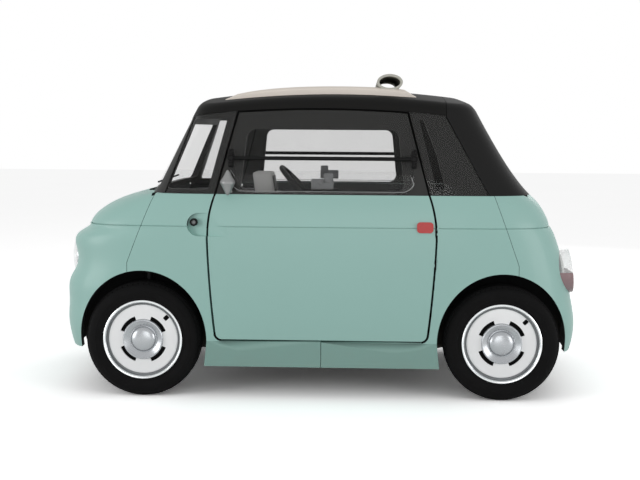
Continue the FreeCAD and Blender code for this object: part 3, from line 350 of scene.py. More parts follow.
@dataclass(frozen=True)
class SplitLens(Finish):
    """Round rear lamp glass, clear above its middle and pink below."""

    lower: str = "8F6D70"
    middle: float = 0.615
    ribs: float = 900.0
    drift: float = 24.0

    def build(self) -> Material:
        """Two colours that meet at the lamp's middle, with fine ribs."""
        s = Shader(self.name)
        _, _, z = s.split()
        slow = s.noise(self.drift)
        ribs = s.math("SINE", z * self.ribs) * 0.5 + 0.5
        below = z < self.middle
        colour = s.mix(below, linear(self.colour), linear(self.lower))
        return s.finish(Base_Color=colour, Roughness=0.12 + slow * 0.12, Coat_Weight=0.7, Coat_Roughness=0.05,
                        Alpha=0.35 + below * 0.55, Normal=s.bump(ribs, 0.3, 0.0005))


class Skin(Enum):
    """Every finish on the car."""

    DRUM = Moulded("drum_iron", "0B0B0B", roughness=0.8, grain=300.0, depth=0.0001, tone=0.2, gloss=0.1)
    MINT = Moulded("mint_panel", "95BDB5", roughness=0.46, tone=0.03, coat=0.1, dust=0.08)
    # Painted shade: the sill's mint is darker than the panels' mint, standing for the shade low on the body;
    # dust comes on top.
    SHADED_SILL = Moulded("mint_sill_painted_shade", "7CA199", roughness=0.5, tone=0.04, dust=0.2)
    BLACK = Moulded("black_frame", "2C2C2B", roughness=0.5, grain=500.0, depth=0.00005, tone=0.1, gloss=0.2)
    ROOF = Moulded("black_roof", "0D0D0C", roughness=0.62, grain=420.0, tone=0.12, gloss=0.13)
    CANOPY = Moulded("black_canopy", "0F0F0F", roughness=0.62, grain=420.0, tone=0.1, gloss=0.16)
    SEAL = Moulded("black_seal", "080808", roughness=0.8, grain=500.0, depth=0.00005, tone=0.1, gloss=0.1)
    TRIM = Moulded("inner_trim", "232526", roughness=0.7, grain=300.0, depth=0.0001, tone=0.1, gloss=0.2)
    LINER = Moulded("arch_plastic", "131314", roughness=0.8, grain=300.0, depth=0.0001, tone=0.2, dust=0.3,
                    gloss=0.2)
    STEEL = Moulded("black_steel", "151617", roughness=0.5, tone=0.1, metallic=0.4, dust=0.3, gloss=0.3)
    ALLOY = Moulded("cast_alloy", "85898C", roughness=0.45, grain=450.0, depth=0.0002, tone=0.1, metallic=0.9)
    DASH = Moulded("dash_plastic", "3A3B3C", roughness=0.62, grain=420.0, depth=0.0001, tone=0.08, gloss=0.3)
    POD = Moulded("pod_plastic", "D2D2D0", roughness=0.5)
    BUTTON = Moulded("button_black", "090909", roughness=0.45, tone=0.1, gloss=0.12)
    GREY = Moulded("button_grey", "77797A", roughness=0.4)
    SATIN = Moulded("satin_grey", "8C8D8D", roughness=0.36, metallic=0.5)
    CHROME = Bright("bright_chrome", "D5D8DA", roughness=0.08)
    GLASS = Glazed("side_glass", "20211F")
    SCREEN = Glazed("screen_glass", "2A302E", density=0.06)
    CREAM = Woven("cream_canvas", "EBE2D8", thread=0.0022)
    ROLL = Woven("rolled_canvas", "BDBCB2", thread=0.0022)
    SEAT = Woven("seat_cloth", "4A4C4E", thread=0.003, tone=0.3)
    BELT = Woven("belt_webbing", "101011", thread=0.0014)
    TYRE = Rubber("tyre_rubber", "0C0C0D")
    RED = Lens("red_marker", "C43230")
    TAIL = SplitLens("tail_lens", "E6E8E8")
    LAMP = Glazed("lamp_lens", "D8DDDD", density=0.18)
    GLOW = Moulded("lamp_white", "E9EAE6", roughness=0.4, tone=0.02)

    @property
    def material(self) -> Material:
        """Material of this finish."""
        return self.value.material()


def deselect() -> None:
    """Leave edit mode and select nothing."""
    if bpy.context.object and bpy.context.object.mode != "OBJECT":
        bpy.ops.object.mode_set(mode="OBJECT")
    bpy.ops.object.select_all(action="DESELECT")


def choose(piece: Piece) -> None:
    """Make a piece the only one selected, and active."""
    deselect()
    piece.select_set(True)
    bpy.context.view_layer.objects.active = piece


@contextmanager
def editing(piece: Piece) -> Iterator[None]:
    """Edit a piece's mesh with all of it selected, and leave edit mode afterwards."""
    choose(piece)
    bpy.ops.object.mode_set(mode="EDIT")
    bpy.ops.mesh.select_all(action="SELECT")
    yield
    bpy.ops.object.mode_set(mode="OBJECT")


def merge_doubles(threshold: float = DOUBLES) -> None:
    """Select all of the mesh that is being edited, and merge its doubled points."""
    bpy.ops.mesh.select_all(action="SELECT")
    bpy.ops.mesh.remove_doubles(threshold=threshold)


def modify(piece: Piece, kind: str, **settings: Any) -> None:
    """Add a modifier and apply it.

    Args:
        piece: The piece to change.
        kind: The modifier's type.
        **settings: Its settings.
    """
    choose(piece)
    modifier = piece.modifiers.new(kind.lower(), kind)
    for key, value in settings.items():
        setattr(modifier, key, value)
    bpy.ops.object.modifier_apply(modifier=modifier.name)


def smooth(piece: Piece, degrees: float = 35.0) -> None:
    """Shade smooth, with sharp edges past an angle."""
    choose(piece)
    bpy.ops.object.shade_smooth_by_angle(angle=math.radians(degrees))


def dress(piece: Piece, name: str, skin: Skin, body: str) -> Piece:
    """Name a new piece, give it its finish and let it ride on a body.

    Args:
        piece: The piece.
        name: Its name.
        skin: Its finish.
        body: The body that carries it.

    Returns:
        The piece.
    """
    piece.name = name
    piece.data.name = name
    piece.data.materials.clear()
    piece.data.materials.append(skin.material)
    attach(piece, body)
    log.info("%s: %d faces", name, len(piece.data.polygons))
    return piece


def body_of(node: str) -> str:
    """The body that a CAD node belongs to."""
    for body, nodes in frame["record"]["behaviour"]["bodies"].items():
        if node in nodes:
            return body
    return "body"


def soften(piece: Piece, width: float, degrees: float, seam: float | None = None) -> None:
    """Bevel the sharp edges of a piece.

    Args:
        piece: The piece.
        width: Width of the bevel.
        degrees: Angle past which an edge is softened.
        seam: Level of a flat joint between two pieces whose edges stay as they are.
    """
    with editing(piece):
        bpy.ops.mesh.select_mode(type="EDGE")
        bpy.ops.mesh.select_all(action="DESELECT")
        bpy.ops.mesh.edges_select_sharp(sharpness=math.radians(degrees))
    mesh = piece.data
    weights = mesh.attributes.new("bevel_weight_edge", "FLOAT", "EDGE")
    for edge in mesh.edges:
        at_seam = seam is not None and all(abs(mesh.vertices[v].co.z - seam) < 0.0002 for v in edge.vertices)
        weights.data[edge.index].value = 1.0 if edge.select and not at_seam else 0.0
    with editing(piece):
        bpy.ops.mesh.select_mode(type="VERT")
    modify(piece, "BEVEL", width=width, segments=2, limit_method="WEIGHT", harden_normals=False)


def refined(node: str, skin: Skin, edge: float = 0.0015, degrees: float = 32.0,
            seam: float | None = None) -> Piece:
    """Smooth copy of a CAD node, with softened edges, that stands for it.

    Args:
        node: The CAD node.
        skin: The finish of the copy.
        edge: Width of the softened edges; zero leaves them.
        degrees: Angle past which an edge is sharp.
        seam: Level of a flat joint whose edges stay sharp.

    Returns:
        The copy.
    """
    source = frame["nodes"][node]
    piece = bpy.data.objects.new(node + "_skin", source.data.copy())
    bpy.context.scene.collection.objects.link(piece)
    with editing(piece):
        bpy.ops.mesh.customdata_custom_splitnormals_clear()
        bpy.ops.mesh.remove_doubles(threshold=2 * DOUBLES)
    if edge:
        soften(piece, edge, degrees + 8, seam)
    smooth(piece, degrees)
    modify(piece, "DATA_TRANSFER", object=source, use_loop_data=True, data_types_loops={"CUSTOM_NORMAL"},
           loop_mapping="POLYINTERP_LNORPROJ", use_max_distance=True, max_distance=0.004)
    dress(piece, node + "_skin", skin, body_of(node))
    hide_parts(node)
    return piece


def kept(node: str, skin: Skin) -> None:
    """Leave a CAD node as it is and give it its finish."""
    mesh = frame["nodes"][node].data
    mesh.materials.clear()
    mesh.materials.append(skin.material)
    log.info("%s: kept", node)


def plumped(piece: Piece, voxel: float, reach: float, pressure: float = 4.0,
            frames: int = 20) -> Piece:
    """Blow a pad up a little, as filling does, by a cloth simulation.

    Args:
        piece: The pad, a closed shape.
        voxel: Size of its new faces.
        reach: The furthest that a point may move.
        pressure: Pressure inside it.
        frames: How long the simulation runs.

    Returns:
        The pad.
    """
    modify(piece, "REMESH", mode="VOXEL", voxel_size=voxel)
    before = [vert.co.copy() for vert in piece.data.vertices]
    choose(piece)
    cloth = piece.modifiers.new("cloth", "CLOTH")
    cloth.settings.use_pressure = True
    cloth.settings.uniform_pressure_force = pressure
    cloth.settings.effector_weights.gravity = 0.0
    cloth.point_cache.frame_start = 1
    cloth.point_cache.frame_end = frames
    for number in range(1, frames + 1):
        bpy.context.scene.frame_set(number)
    bpy.ops.object.modifier_apply(modifier=cloth.name)
    for vert, place in zip(piece.data.vertices, before):
        moved = vert.co - place
        if moved.length > reach:
            vert.co = place + moved * (reach / moved.length)
    bpy.context.scene.frame_set(1)
    modify(piece, "SUBSURF", levels=1, render_levels=1)
    choose(piece)
    bpy.ops.object.shade_smooth()
    return piece


def line_inside(piece: Piece, skin: Skin, level: float = 0.6, limit: float = -0.35) -> None:
    """Give the faces that look into the car another finish.

    Args:
        piece: The piece.
        skin: The other finish.
        level: Height of the car's middle.
        limit: How far a face looks inwards before it takes that finish.
    """
    piece.data.materials.append(skin.material)
    for face in piece.data.polygons:
        outward = (face.center - Vector((0, 0, level))) * Vector(BODY_SHAPE)
        if face.normal.dot(outward.normalized()) < limit:
            face.material_index = 1


def paint_shade_round_line(piece: Piece, skin: Skin, x: float, y: float, reach: float) -> None:
    """Paint shade on the faces that lie close round an upright line by giving them another, dark finish.

    Args:
        piece: The piece.
        skin: The other finish.
        x: The line's place along the car.
        y: Its place across the car.
        reach: How close all of a face lies to it.
    """
    piece.data.materials.append(skin.material)
    slot = len(piece.data.materials) - 1
    near = [math.hypot(vert.co.x - x, vert.co.y - y) < reach for vert in piece.data.vertices]
    for face in piece.data.polygons:
        if all(near[index] for index in face.vertices):
            face.material_index = slot


def facings(piece: Piece, axis: int) -> list[tuple[bpy.types.MeshVertex, float]]:
    """Each point of a piece with its normal's share along an axis, read before any point moves."""
    return [(vert, vert.normal[axis]) for vert in piece.data.vertices]


def shares(count: int) -> list[float]:
    """Even steps from zero to one."""
    return [step / count for step in range(count + 1)]


def scaled(table: Profile, along: float = 0.0, out: float = 0.0) -> Profile:
    """Turn a table of radii and places in millimetres into metres, from a place and a radius."""
    return [(out + radius / 1000, along + place / 1000) for radius, place in table]


def lathe(profile: Profile, steps: int, sharp: float = 0.0) -> Piece:
    """Spin a profile round the Y axis.

    Args:
        profile: Pairs of radius and place along Y.
        steps: Faces round the turn.
        sharp: Angle in degrees past which edges stay sharp; zero leaves its faces flat.

    Returns:
        The new piece, at the origin.
    """
    deselect()
    bpy.ops.mesh.primitive_plane_add(size=0.01)
    piece = bpy.context.object
    with editing(piece):
        bpy.ops.mesh.merge(type="CENTER")
        bpy.ops.transform.translate(value=(*profile[0], 0))
        for (r0, y0), (r1, y1) in zip(profile, profile[1:]):
            bpy.ops.mesh.extrude_vertices_move(TRANSFORM_OT_translate={"value": (r1 - r0, y1 - y0, 0)})
        merge_doubles()
        bpy.ops.mesh.select_all(action="SELECT")
        bpy.ops.mesh.spin(steps=steps, angle=2 * math.pi, center=(0, 0, 0), axis=(0, 1, 0))
        merge_doubles()
        bpy.ops.mesh.normals_make_consistent(inside=False)
    if sharp:
        smooth(piece, sharp)
    return piece


def at(place: Sequence[float], degrees: float = 0.0, axis: str = "Y") -> Matrix:
    """Matrix that turns a piece about an axis through the origin and moves it to a place."""
    return Matrix.Translation(place) @ Matrix.Rotation(math.radians(degrees), 4, axis)


def half_turn(middle: float) -> Matrix:
    """Half a turn about an upright axis at a place along the car."""
    return at((2 * middle, 0, 0), 180.0, "Z")


def placed(piece: Piece, matrix: Matrix) -> Piece:
    """Move a piece's mesh, so that its object stays at the origin."""
    piece.data.transform(matrix)
    if matrix.determinant() < 0:
        piece.data.flip_normals()
    piece.matrix_world = Matrix.Identity(4)
    return piece


def copy_of(piece: Piece, matrix: Matrix) -> Piece:
    """A copy with its own mesh, moved by the matrix."""
    twin = bpy.data.objects.new(piece.name, piece.data.copy())
    bpy.context.scene.collection.objects.link(twin)
    return placed(twin, matrix)


def joined(pieces: Sequence[Piece]) -> Piece:
    """Join pieces into the first one."""
    deselect()
    for piece in pieces:
        piece.select_set(True)
    bpy.context.view_layer.objects.active = pieces[0]
    bpy.ops.object.join()
    return pieces[0]


def doubled(piece: Piece, matrix: Matrix) -> Piece:
    """Join a piece with a copy of it that the matrix moves."""
    return joined([piece, copy_of(piece, matrix)])


def rounded_block(low: Point, high: Point, edge: float, segments: int = 2) -> Piece:
    """Block between two corners with rounded edges, its place in its mesh.

    Args:
        low: Lowest corner.
        high: Highest corner.
        edge: Radius of the edges.
        segments: Faces across each edge.

    Returns:
        The block.
    """
    deselect()
    size = [b - a for a, b in zip(low, high)]
    middle = [(a + b) / 2 for a, b in zip(low, high)]
    bpy.ops.mesh.primitive_cube_add(size=1.0, location=middle, scale=size)
    piece = bpy.context.object
    bpy.ops.object.transform_apply(location=True, rotation=True, scale=True)
    modify(piece, "BEVEL", width=edge, segments=segments)
    smooth(piece, 40.0)
    return piece


def tube(points: Sequence[Point], radius: float, sides: int = 3) -> Piece:
    """Round bar or wire along a smooth line through points.

    Args:
        points: The points of its line.
        radius: Its radius.
        sides: Fineness of its section.

    Returns:
        The bar, as a mesh.
    """
    deselect()
    bpy.ops.curve.primitive_bezier_curve_add()
    bar = bpy.context.object
    line = bar.data
    line.splines.clear()
    spline = line.splines.new("POLY")
    spline.points.add(len(points) - 1)
    for point, place in zip(spline.points, points):
        point.co = (*place, 1.0)
    line.dimensions = "3D"
    line.bevel_depth = radius
    line.bevel_resolution = sides
    line.use_fill_caps = True
    choose(bar)
    bpy.ops.object.convert(target="MESH")
    piece = bpy.context.object
    piece.matrix_world = Matrix.Identity(4)
    smooth(piece, 50.0)
    return piece


@lru_cache
def tree_of(node: str) -> BVHTree:
    """Search tree of a CAD node's faces."""
    mesh = frame["nodes"][node].data
    return BVHTree.FromPolygons([vert.co for vert in mesh.vertices], [face.vertices for face in mesh.polygons])


def hit(node: str, start: Point, direction: Point) -> Vector:
    """Place where a straight line first meets a CAD node.

    Args:
        node: The CAD node.
        start: Where the line starts.
        direction: Where it goes.

    Returns:
        The place, or the node's nearest one where the line misses it.
    """
    tree = tree_of(node)
    place = tree.ray_cast(Vector(start), Vector(direction).normalized())[0]
    return place or tree.find_nearest(Vector(start))[0]


BEAD = ((180.5, -12), (180.5, -0.5), (194, 0), (198, 3), (200, 4.5), (203.5, 4.5), (205, 3.5))
WALL = ((216, -3), (228, -0.8), (228.5, 0), (233.5, 0), (234, -0.8), (246, -2.2), (256, -6.2),
        (262.5, -11.5), (266.8, -16.5))
TREAD = ((-9.5, 54.5), (-7.5, 46), (-7.5, 44.5), (-1, 43), (0, 30), (0, 22.5), (-7.5, 21.5), (-7.5, 15.5),
         (0, 14.5), (0, 4), (-5, 3.2))
RIM_FACE = ((0, -17), (14, -16.7), (28, -15.5), (40, -13), (50, -9), (57, -4), (60.8, 1), (62, 3.5), (64.5, 3.8),
            (68, 2), (88, -9.5), (91.5, -11.8), (94.5, -11.8), (96.8, -9.2), (97.8, -1.2), (99.5, 0), (160, 0),
            (163, 0.4), (166.2, 2.2), (168.8, 6), (170.5, 11.5), (172.5, 13.8), (176.2, 13.8), (178.4, 11.5),
            (179.4, -4), (181.2, -13.5), (184.2, -16.8), (188, -17.2), (191.2, -15.5), (192.8, -12),
            (192.6, -9.4), (180, -9.2), (179.6, -8))
RIM_FAR = ((179.6, -1), (192.6, 0.3), (192.8, 5), (190, 8.8), (178, 8.8), (174.8, 4))
RIM_BACK = ((174.6, 14), (171, 13.5), (164, 0), (40, 0), (38, 2), (38, 46), (15.2, 46), (15.2, 0.5), (0, 0.5))
DRUM = ((42, -36), (90, -40), (160, -40), (166, -37), (167, -30), (167, -24), (164, -23.5), (164, -20.5),
        (167, -20), (167, -14), (164, -13.5), (164, -10.5), (167, -10), (167, -4), (160, 0), (60, 4), (42, 4),
        (42, -36))


@dataclass
class Wheels:
    """Four steel wheels with their tyres and brake drums."""

    tyre_radius: float = 0.2785
    tyre_width: float = 0.155
    bead_width: float = 0.132
    disc_depth: float = 0.009
    disc_thickness: float = 0.008
    shoulder_blocks: int = 64
    slot_radius: float = 0.1075
    slot_size: tuple[float, float] = (0.019, 0.06)
    slot_depth: float = -0.05
    slot_arc: float = 50.0
    valve_radius: float = 0.153
    valve_angle: float = 43.0
    hub_edge: float = 0.0985
    groove_edge: float = 0.1675
    lip_edge: float = 0.1787
    face_edge: float = 0.04
    tread_turns: tuple[float, float] = (35.0, 28.0)
    side_turn: float = 20.0
    steps: int = 96

    def tyre(self) -> Piece:
        """Tyre with round grooves, shoulder blocks and raised rings on its walls."""
        r = self.tyre_radius
        half = scaled(BEAD, self.bead_width / 2) + scaled(WALL, self.tyre_width / 2) + scaled(TREAD, out=r)
        tyre = lathe([(radius, -along) for radius, along in half] + half[::-1], self.steps)
        block = rounded_block((-0.0105, 0.046, r - 0.0115), (0.0095, 0.058, r - 0.0052), 0.0012, 1)
        with editing(block):
            bpy.ops.mesh.spin(steps=self.shoulder_blocks, angle=2 * math.pi, center=(0, 0, 0), axis=(0, 1, 0),
                              dupli=True)
            merge_doubles()
        tyre = joined([tyre, block, copy_of(block, half_turn(0.0))])
        smooth(tyre, 30.0)
        return tyre

    def slot(self, middle: float) -> Piece:
        """Cutter of one curved slot through the disc, with its middle at an angle in degrees."""
        deselect()
        bpy.ops.mesh.primitive_plane_add(size=1.0)
        piece = bpy.context.object
        with editing(piece):
            bpy.ops.transform.resize(value=(*self.slot_size, 1.0))
            bpy.ops.transform.translate(value=(self.slot_radius, self.slot_depth, 0))
            bpy.ops.mesh.spin(steps=10, angle=math.radians(self.slot_arc), center=(0, 0, 0), axis=(0, 1, 0))
            bpy.ops.mesh.select_all(action="SELECT")
            bpy.ops.mesh.normals_make_consistent(inside=False)
        place = sum((vert.co for vert in piece.data.vertices), Vector()) / len(piece.data.vertices)
        now = math.atan2(place.z, place.x)
        return placed(piece, Matrix.Rotation(now - math.radians(middle), 4, "Y"))

    def rim(self) -> Piece:
        """Pressed disc with a rolled lip, a groove, a hub ring, a domed cap, four slots and a valve hole."""
        face = -self.bead_width / 2 + self.disc_depth
        profile = (scaled(RIM_FACE, face) + scaled(RIM_FAR, self.bead_width / 2)
                   + scaled(RIM_BACK, face + self.disc_thickness))
        rim = lathe(profile, self.steps)
        modify(rim, "BEVEL", width=0.0006, segments=1, limit_method="ANGLE", angle_limit=math.radians(40))
        cutters = [self.slot(45.0 + 90.0 * number) for number in range(4)]
        notch = rounded_block((-0.013, face - 0.03, -0.0105), (0.013, face + 0.05, 0.0105), 0.004)
        cutters.append(placed(notch, at((0, 0, 0), -self.valve_angle) @ at((self.valve_radius, 0, 0))))
        for cutter in cutters:
            modify(rim, "BOOLEAN", object=cutter, operation="DIFFERENCE", solver="EXACT")
            bpy.data.objects.remove(cutter)
        smooth(rim, 32.0)
        return rim

    @staticmethod
    def corners() -> Iterator[tuple[str, str, int, Vector, Matrix]]:
        """Each wheel's end, side, sign and middle, and the matrix that faces its disc outwards."""
        for end in ENDS:
            for side, sign in SIDES:
                low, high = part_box(f"tyre_{end}_{side}")
                middle = (low + high) / 2
                yield end, side, sign, middle, at(middle, 180.0 if sign > 0 else 0.0, "Z")

    def build(self) -> None:
        """Dress all four wheels, each tyre at its own angle, then put a ribbed drum behind each disc."""
        tyre, rim = self.tyre(), self.rim()
        for end, side, sign, middle, facing in self.corners():
            turn = self.tread_turns[ENDS.index(end)] + self.side_turn * sign
            piece = copy_of(tyre, at(middle, turn))
            dress(piece, f"tyre_{end}_{side}_tread", Skin.TYRE, f"wheel_{end}_{side}")
            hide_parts(f"tyre_{end}_{side}")
            wheel = copy_of(rim, facing)
            dress(wheel, f"rim_{end}_{side}_steel", Skin.CHROME, f"wheel_{end}_{side}")
            wheel.data.materials[0] = self.rim_finish(end, side, middle, sign)
            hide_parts(f"rim_{end}_{side}")
        drum = lathe(scaled(DRUM), 72, sharp=35.0)
        for end, side, _, _, facing in self.corners():
            body = f"knuckle_{side}" if end == "front" else "body"
            dress(copy_of(drum, facing), f"brake_drum_{end}_{side}", Skin.DRUM, body)
        for spare in (tyre, rim, drum):
            bpy.data.objects.remove(spare)

    def rim_finish(self, end: str, side: str, middle: Vector, sign: int) -> Material:
        """Bright lip, a groove painted darker grey as painted shade, silver disc, bright hub ring and cap.

        Args:
            end: Front or rear.
            side: Left or right.
            middle: The wheel's middle.
            sign: -1 on the left and 1 on the right.

        Returns:
            The material.
        """
        s = Shader(f"wheel_steel_{end}_{side}")
        x, y, z = s.split()
        radius = s.math("SQRT", (x - middle.x) ** 2.0 + (z - middle.z) ** 2.0)
        outer = (y - middle.y) * sign
        slow = s.noise(8.0, 3.0)
        fine = s.noise(900.0, 2.0)
        disc = s.mix(slow, linear("E4E5E6"), linear("F0F1F1"))
        hub = s.mix(radius < self.hub_edge, disc, linear("A6A9AC"))
        # Painted shade: the groove between the disc and the lip is painted a darker grey.
        with_groove_shade = s.mix(radius > self.groove_edge, hub, linear("8B8E90"))
        lipped = s.mix(radius > self.lip_edge, with_groove_shade, linear("DDE0E1"))
        colour = s.mix(outer < self.face_edge, lipped, linear("26282A"))
        shine = (radius > self.lip_edge) * 1.0 + (radius < self.hub_edge) * 0.75
        rough = 0.46 - shine * 0.3 + slow * 0.06
        metal = 0.12 + shine * 0.88
        return s.finish(Base_Color=colour, Metallic=metal, Roughness=rough, Normal=s.bump(fine, 0.2, 0.00004))


@dataclass
class Panels:
    """Outer skins, roof, frames and glass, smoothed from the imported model."""

    edge: float = 0.002
    sill_top: float = 0.279
    hinge_places: tuple[tuple[float, float], ...] = ((0.5535, -0.698), (-0.5285, 0.698))
    hinge_reach: float = 0.0055
    frame_scale: float = 0.9985
    seal_radius: float = 0.01
    seal_sink: float = 0.02
    seal_runs: tuple[tuple[float, float], ...] = ((-0.497, -0.3907), (0.524, 0.4197))
    seal_foot: float = 0.975
    seal_height: float = 0.41
    belt_depth: float = 0.6584
    belt_level: float = 0.989
    side_lean: float = 0.2153
    seal_top: Point = (MIDDLE, -0.55, 1.391)
    seal_step: float = 0.0675
    seal_bow: float = 11.0
    canvas_middle: float = -0.005
    canvas_half: float = 0.468
    canvas_depth: float = 0.43
    canvas_width: float = 0.035
    canvas_height: float = 0.033
    canvas_sink: float = 0.005
    canvas_lap: float = 0.004
    canvas_ends: tuple[int, int] = (3, 12)
    roof_side: float = 0.466
    above: float = 1.7
    ahead: float = -1.6
    blade_start: tuple[float, float] = (-0.33, 1.022)
    blade_run: tuple[float, float] = (0.6, 0.012)
    blade_radius: float = 0.0045
    arm_radius: float = 0.0055
    pivot_place: tuple[float, float] = (0.02, 0.992)
    cowl: tuple[Point, Point] = ((-0.872, -0.34, 0.972), (-0.835, 0.34, 0.992))

    def seals(self) -> None:
        """Rubber tubes in the gaps round the doors above the belt."""
        runs = []
        for foot, head in self.seal_runs:
            line = []
            for share in shares(8):
                z = self.seal_foot + share * self.seal_height
                depth = self.belt_depth - self.side_lean * (z - self.belt_level) - self.seal_sink
                line.append((foot + (head - foot) * share, -depth, z))
            runs.append(tube(line, self.seal_radius))
        x, y, z = self.seal_top
        places = (self.seal_step * step for step in range(-6, 7))
        top = [(x + along, y, z - along ** 2 / self.seal_bow) for along in places]
        runs.append(tube(top, self.seal_radius * 1.3))
        left = joined(runs)
        right = copy_of(left, half_turn(MIDDLE))
        for piece, name in ((left, "seal_left"), (right, "seal_right")):
            dress(piece, name, Skin.SEAL, "body")

    def canvas(self) -> None:
        """Folded cream canvas along both sides of the open roof, tapering at its ends."""
        bands = []
        for _, sign in SIDES:
            deselect()
            bpy.ops.mesh.primitive_cube_add(size=2.0)
            band = bpy.context.object
            with editing(band):
                bpy.ops.mesh.subdivide(number_cuts=15)
            for vert in band.data.vertices:
                along, across, up = vert.co
                x = self.canvas_middle + self.canvas_half * along
                full = max(0.0, 1 - abs(along) ** self.canvas_ends[along > 0]) ** 0.5
                y = sign * (self.canvas_depth + self.canvas_width * across * (0.55 + 0.45 * full))
                above = (x, sign * min(self.roof_side, abs(y) + self.canvas_lap), self.above)
                foot = hit("roof_shell", above, (0, 0, -1)).z - self.canvas_sink
                crown = self.canvas_height * full * (1 - 0.3 * across ** 4)
                vert.co = (x, y, foot + (up + 1) / 2 * (crown + 0.006))
            with editing(band):
                bpy.ops.mesh.normals_make_consistent(inside=False)
            modify(band, "BEVEL", width=0.004, segments=2, limit_method="ANGLE", angle_limit=math.radians(50))
            smooth(band, 50.0)
            bands.append(band)
        piece = dress(joined(bands), "canvas_bands", Skin.CREAM, "body")
        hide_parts("canvas_edges")

    def wiper(self) -> None:
        """Wiper arm and blade at the foot of the windscreen, and the black cowl below them."""
        line = []
        for share in shares(8):
            y, z = (start + share * run for start, run in zip(self.blade_start, self.blade_run))
            place = hit("windscreen", (self.ahead, y, z), (1, 0, 0))
            line.append((place.x - 0.01, place.y, place.z + 0.004))
        blade = tube(line, self.blade_radius)
        y, z = self.pivot_place
        x = hit("windscreen", (self.ahead, y, z + 0.004), (1, 0, 0)).x
        hold = line[len(line) // 2]
        arm = tube([(x - 0.018, y, z), (x - 0.022, y - 0.02, z + 0.012), (hold[0] - 0.006, *hold[1:])],
                   self.arm_radius)
        boss = lathe(scaled(((0, -12), (10, -12), (13, -9), (13, 10), (0, 10))), 24)
        boss = placed(boss, at((x - 0.016, y, z), -90.0, "Z"))
        parts = [blade, arm, boss, rounded_block(*self.cowl, 0.006)]
        dress(joined(parts), "wiper", Skin.SEAL, "body")

    def build(self) -> None:
        """Dress every panel and pane."""
        for node in ("nose_shell", "tail_shell", "front_wings", "rear_wings", "door_left_panel",
                     "door_right_panel"):
            piece = refined(node, Skin.MINT, self.edge, seam=self.sill_top)
            line_inside(piece, Skin.TRIM)
            # Painted shade: the hinge barrels in the door gaps are painted black so that each gap reads as one
            # dark line.
            for x, y in self.hinge_places:
                paint_shade_round_line(piece, Skin.SEAL, x, y, self.hinge_reach)
        # The sills take the darker mint that paints the shade low on the body.
        line_inside(refined("sills", Skin.SHADED_SILL, self.edge, seam=self.sill_top), Skin.LINER)
        for node in ("cabin_frame", "door_left_frame", "door_right_frame"):
            piece = refined(node, Skin.BLACK, self.edge * 0.7)
            for vert in piece.data.vertices:
                vert.co.y *= self.frame_scale
        refined("roof_shell", Skin.ROOF, self.edge)
        refined("canopy", Skin.CANOPY, self.edge)
        for node in ("door_left_glass", "door_right_glass", "quarter_glass"):
            kept(node, Skin.GLASS)
        for node in ("windscreen", "rear_window"):
            kept(node, Skin.SCREEN)
        kept("arch_liners", Skin.LINER)
        refined("canvas_roll", Skin.ROLL, 0.003)
        self.seals()
        self.canvas()
        self.wiper()


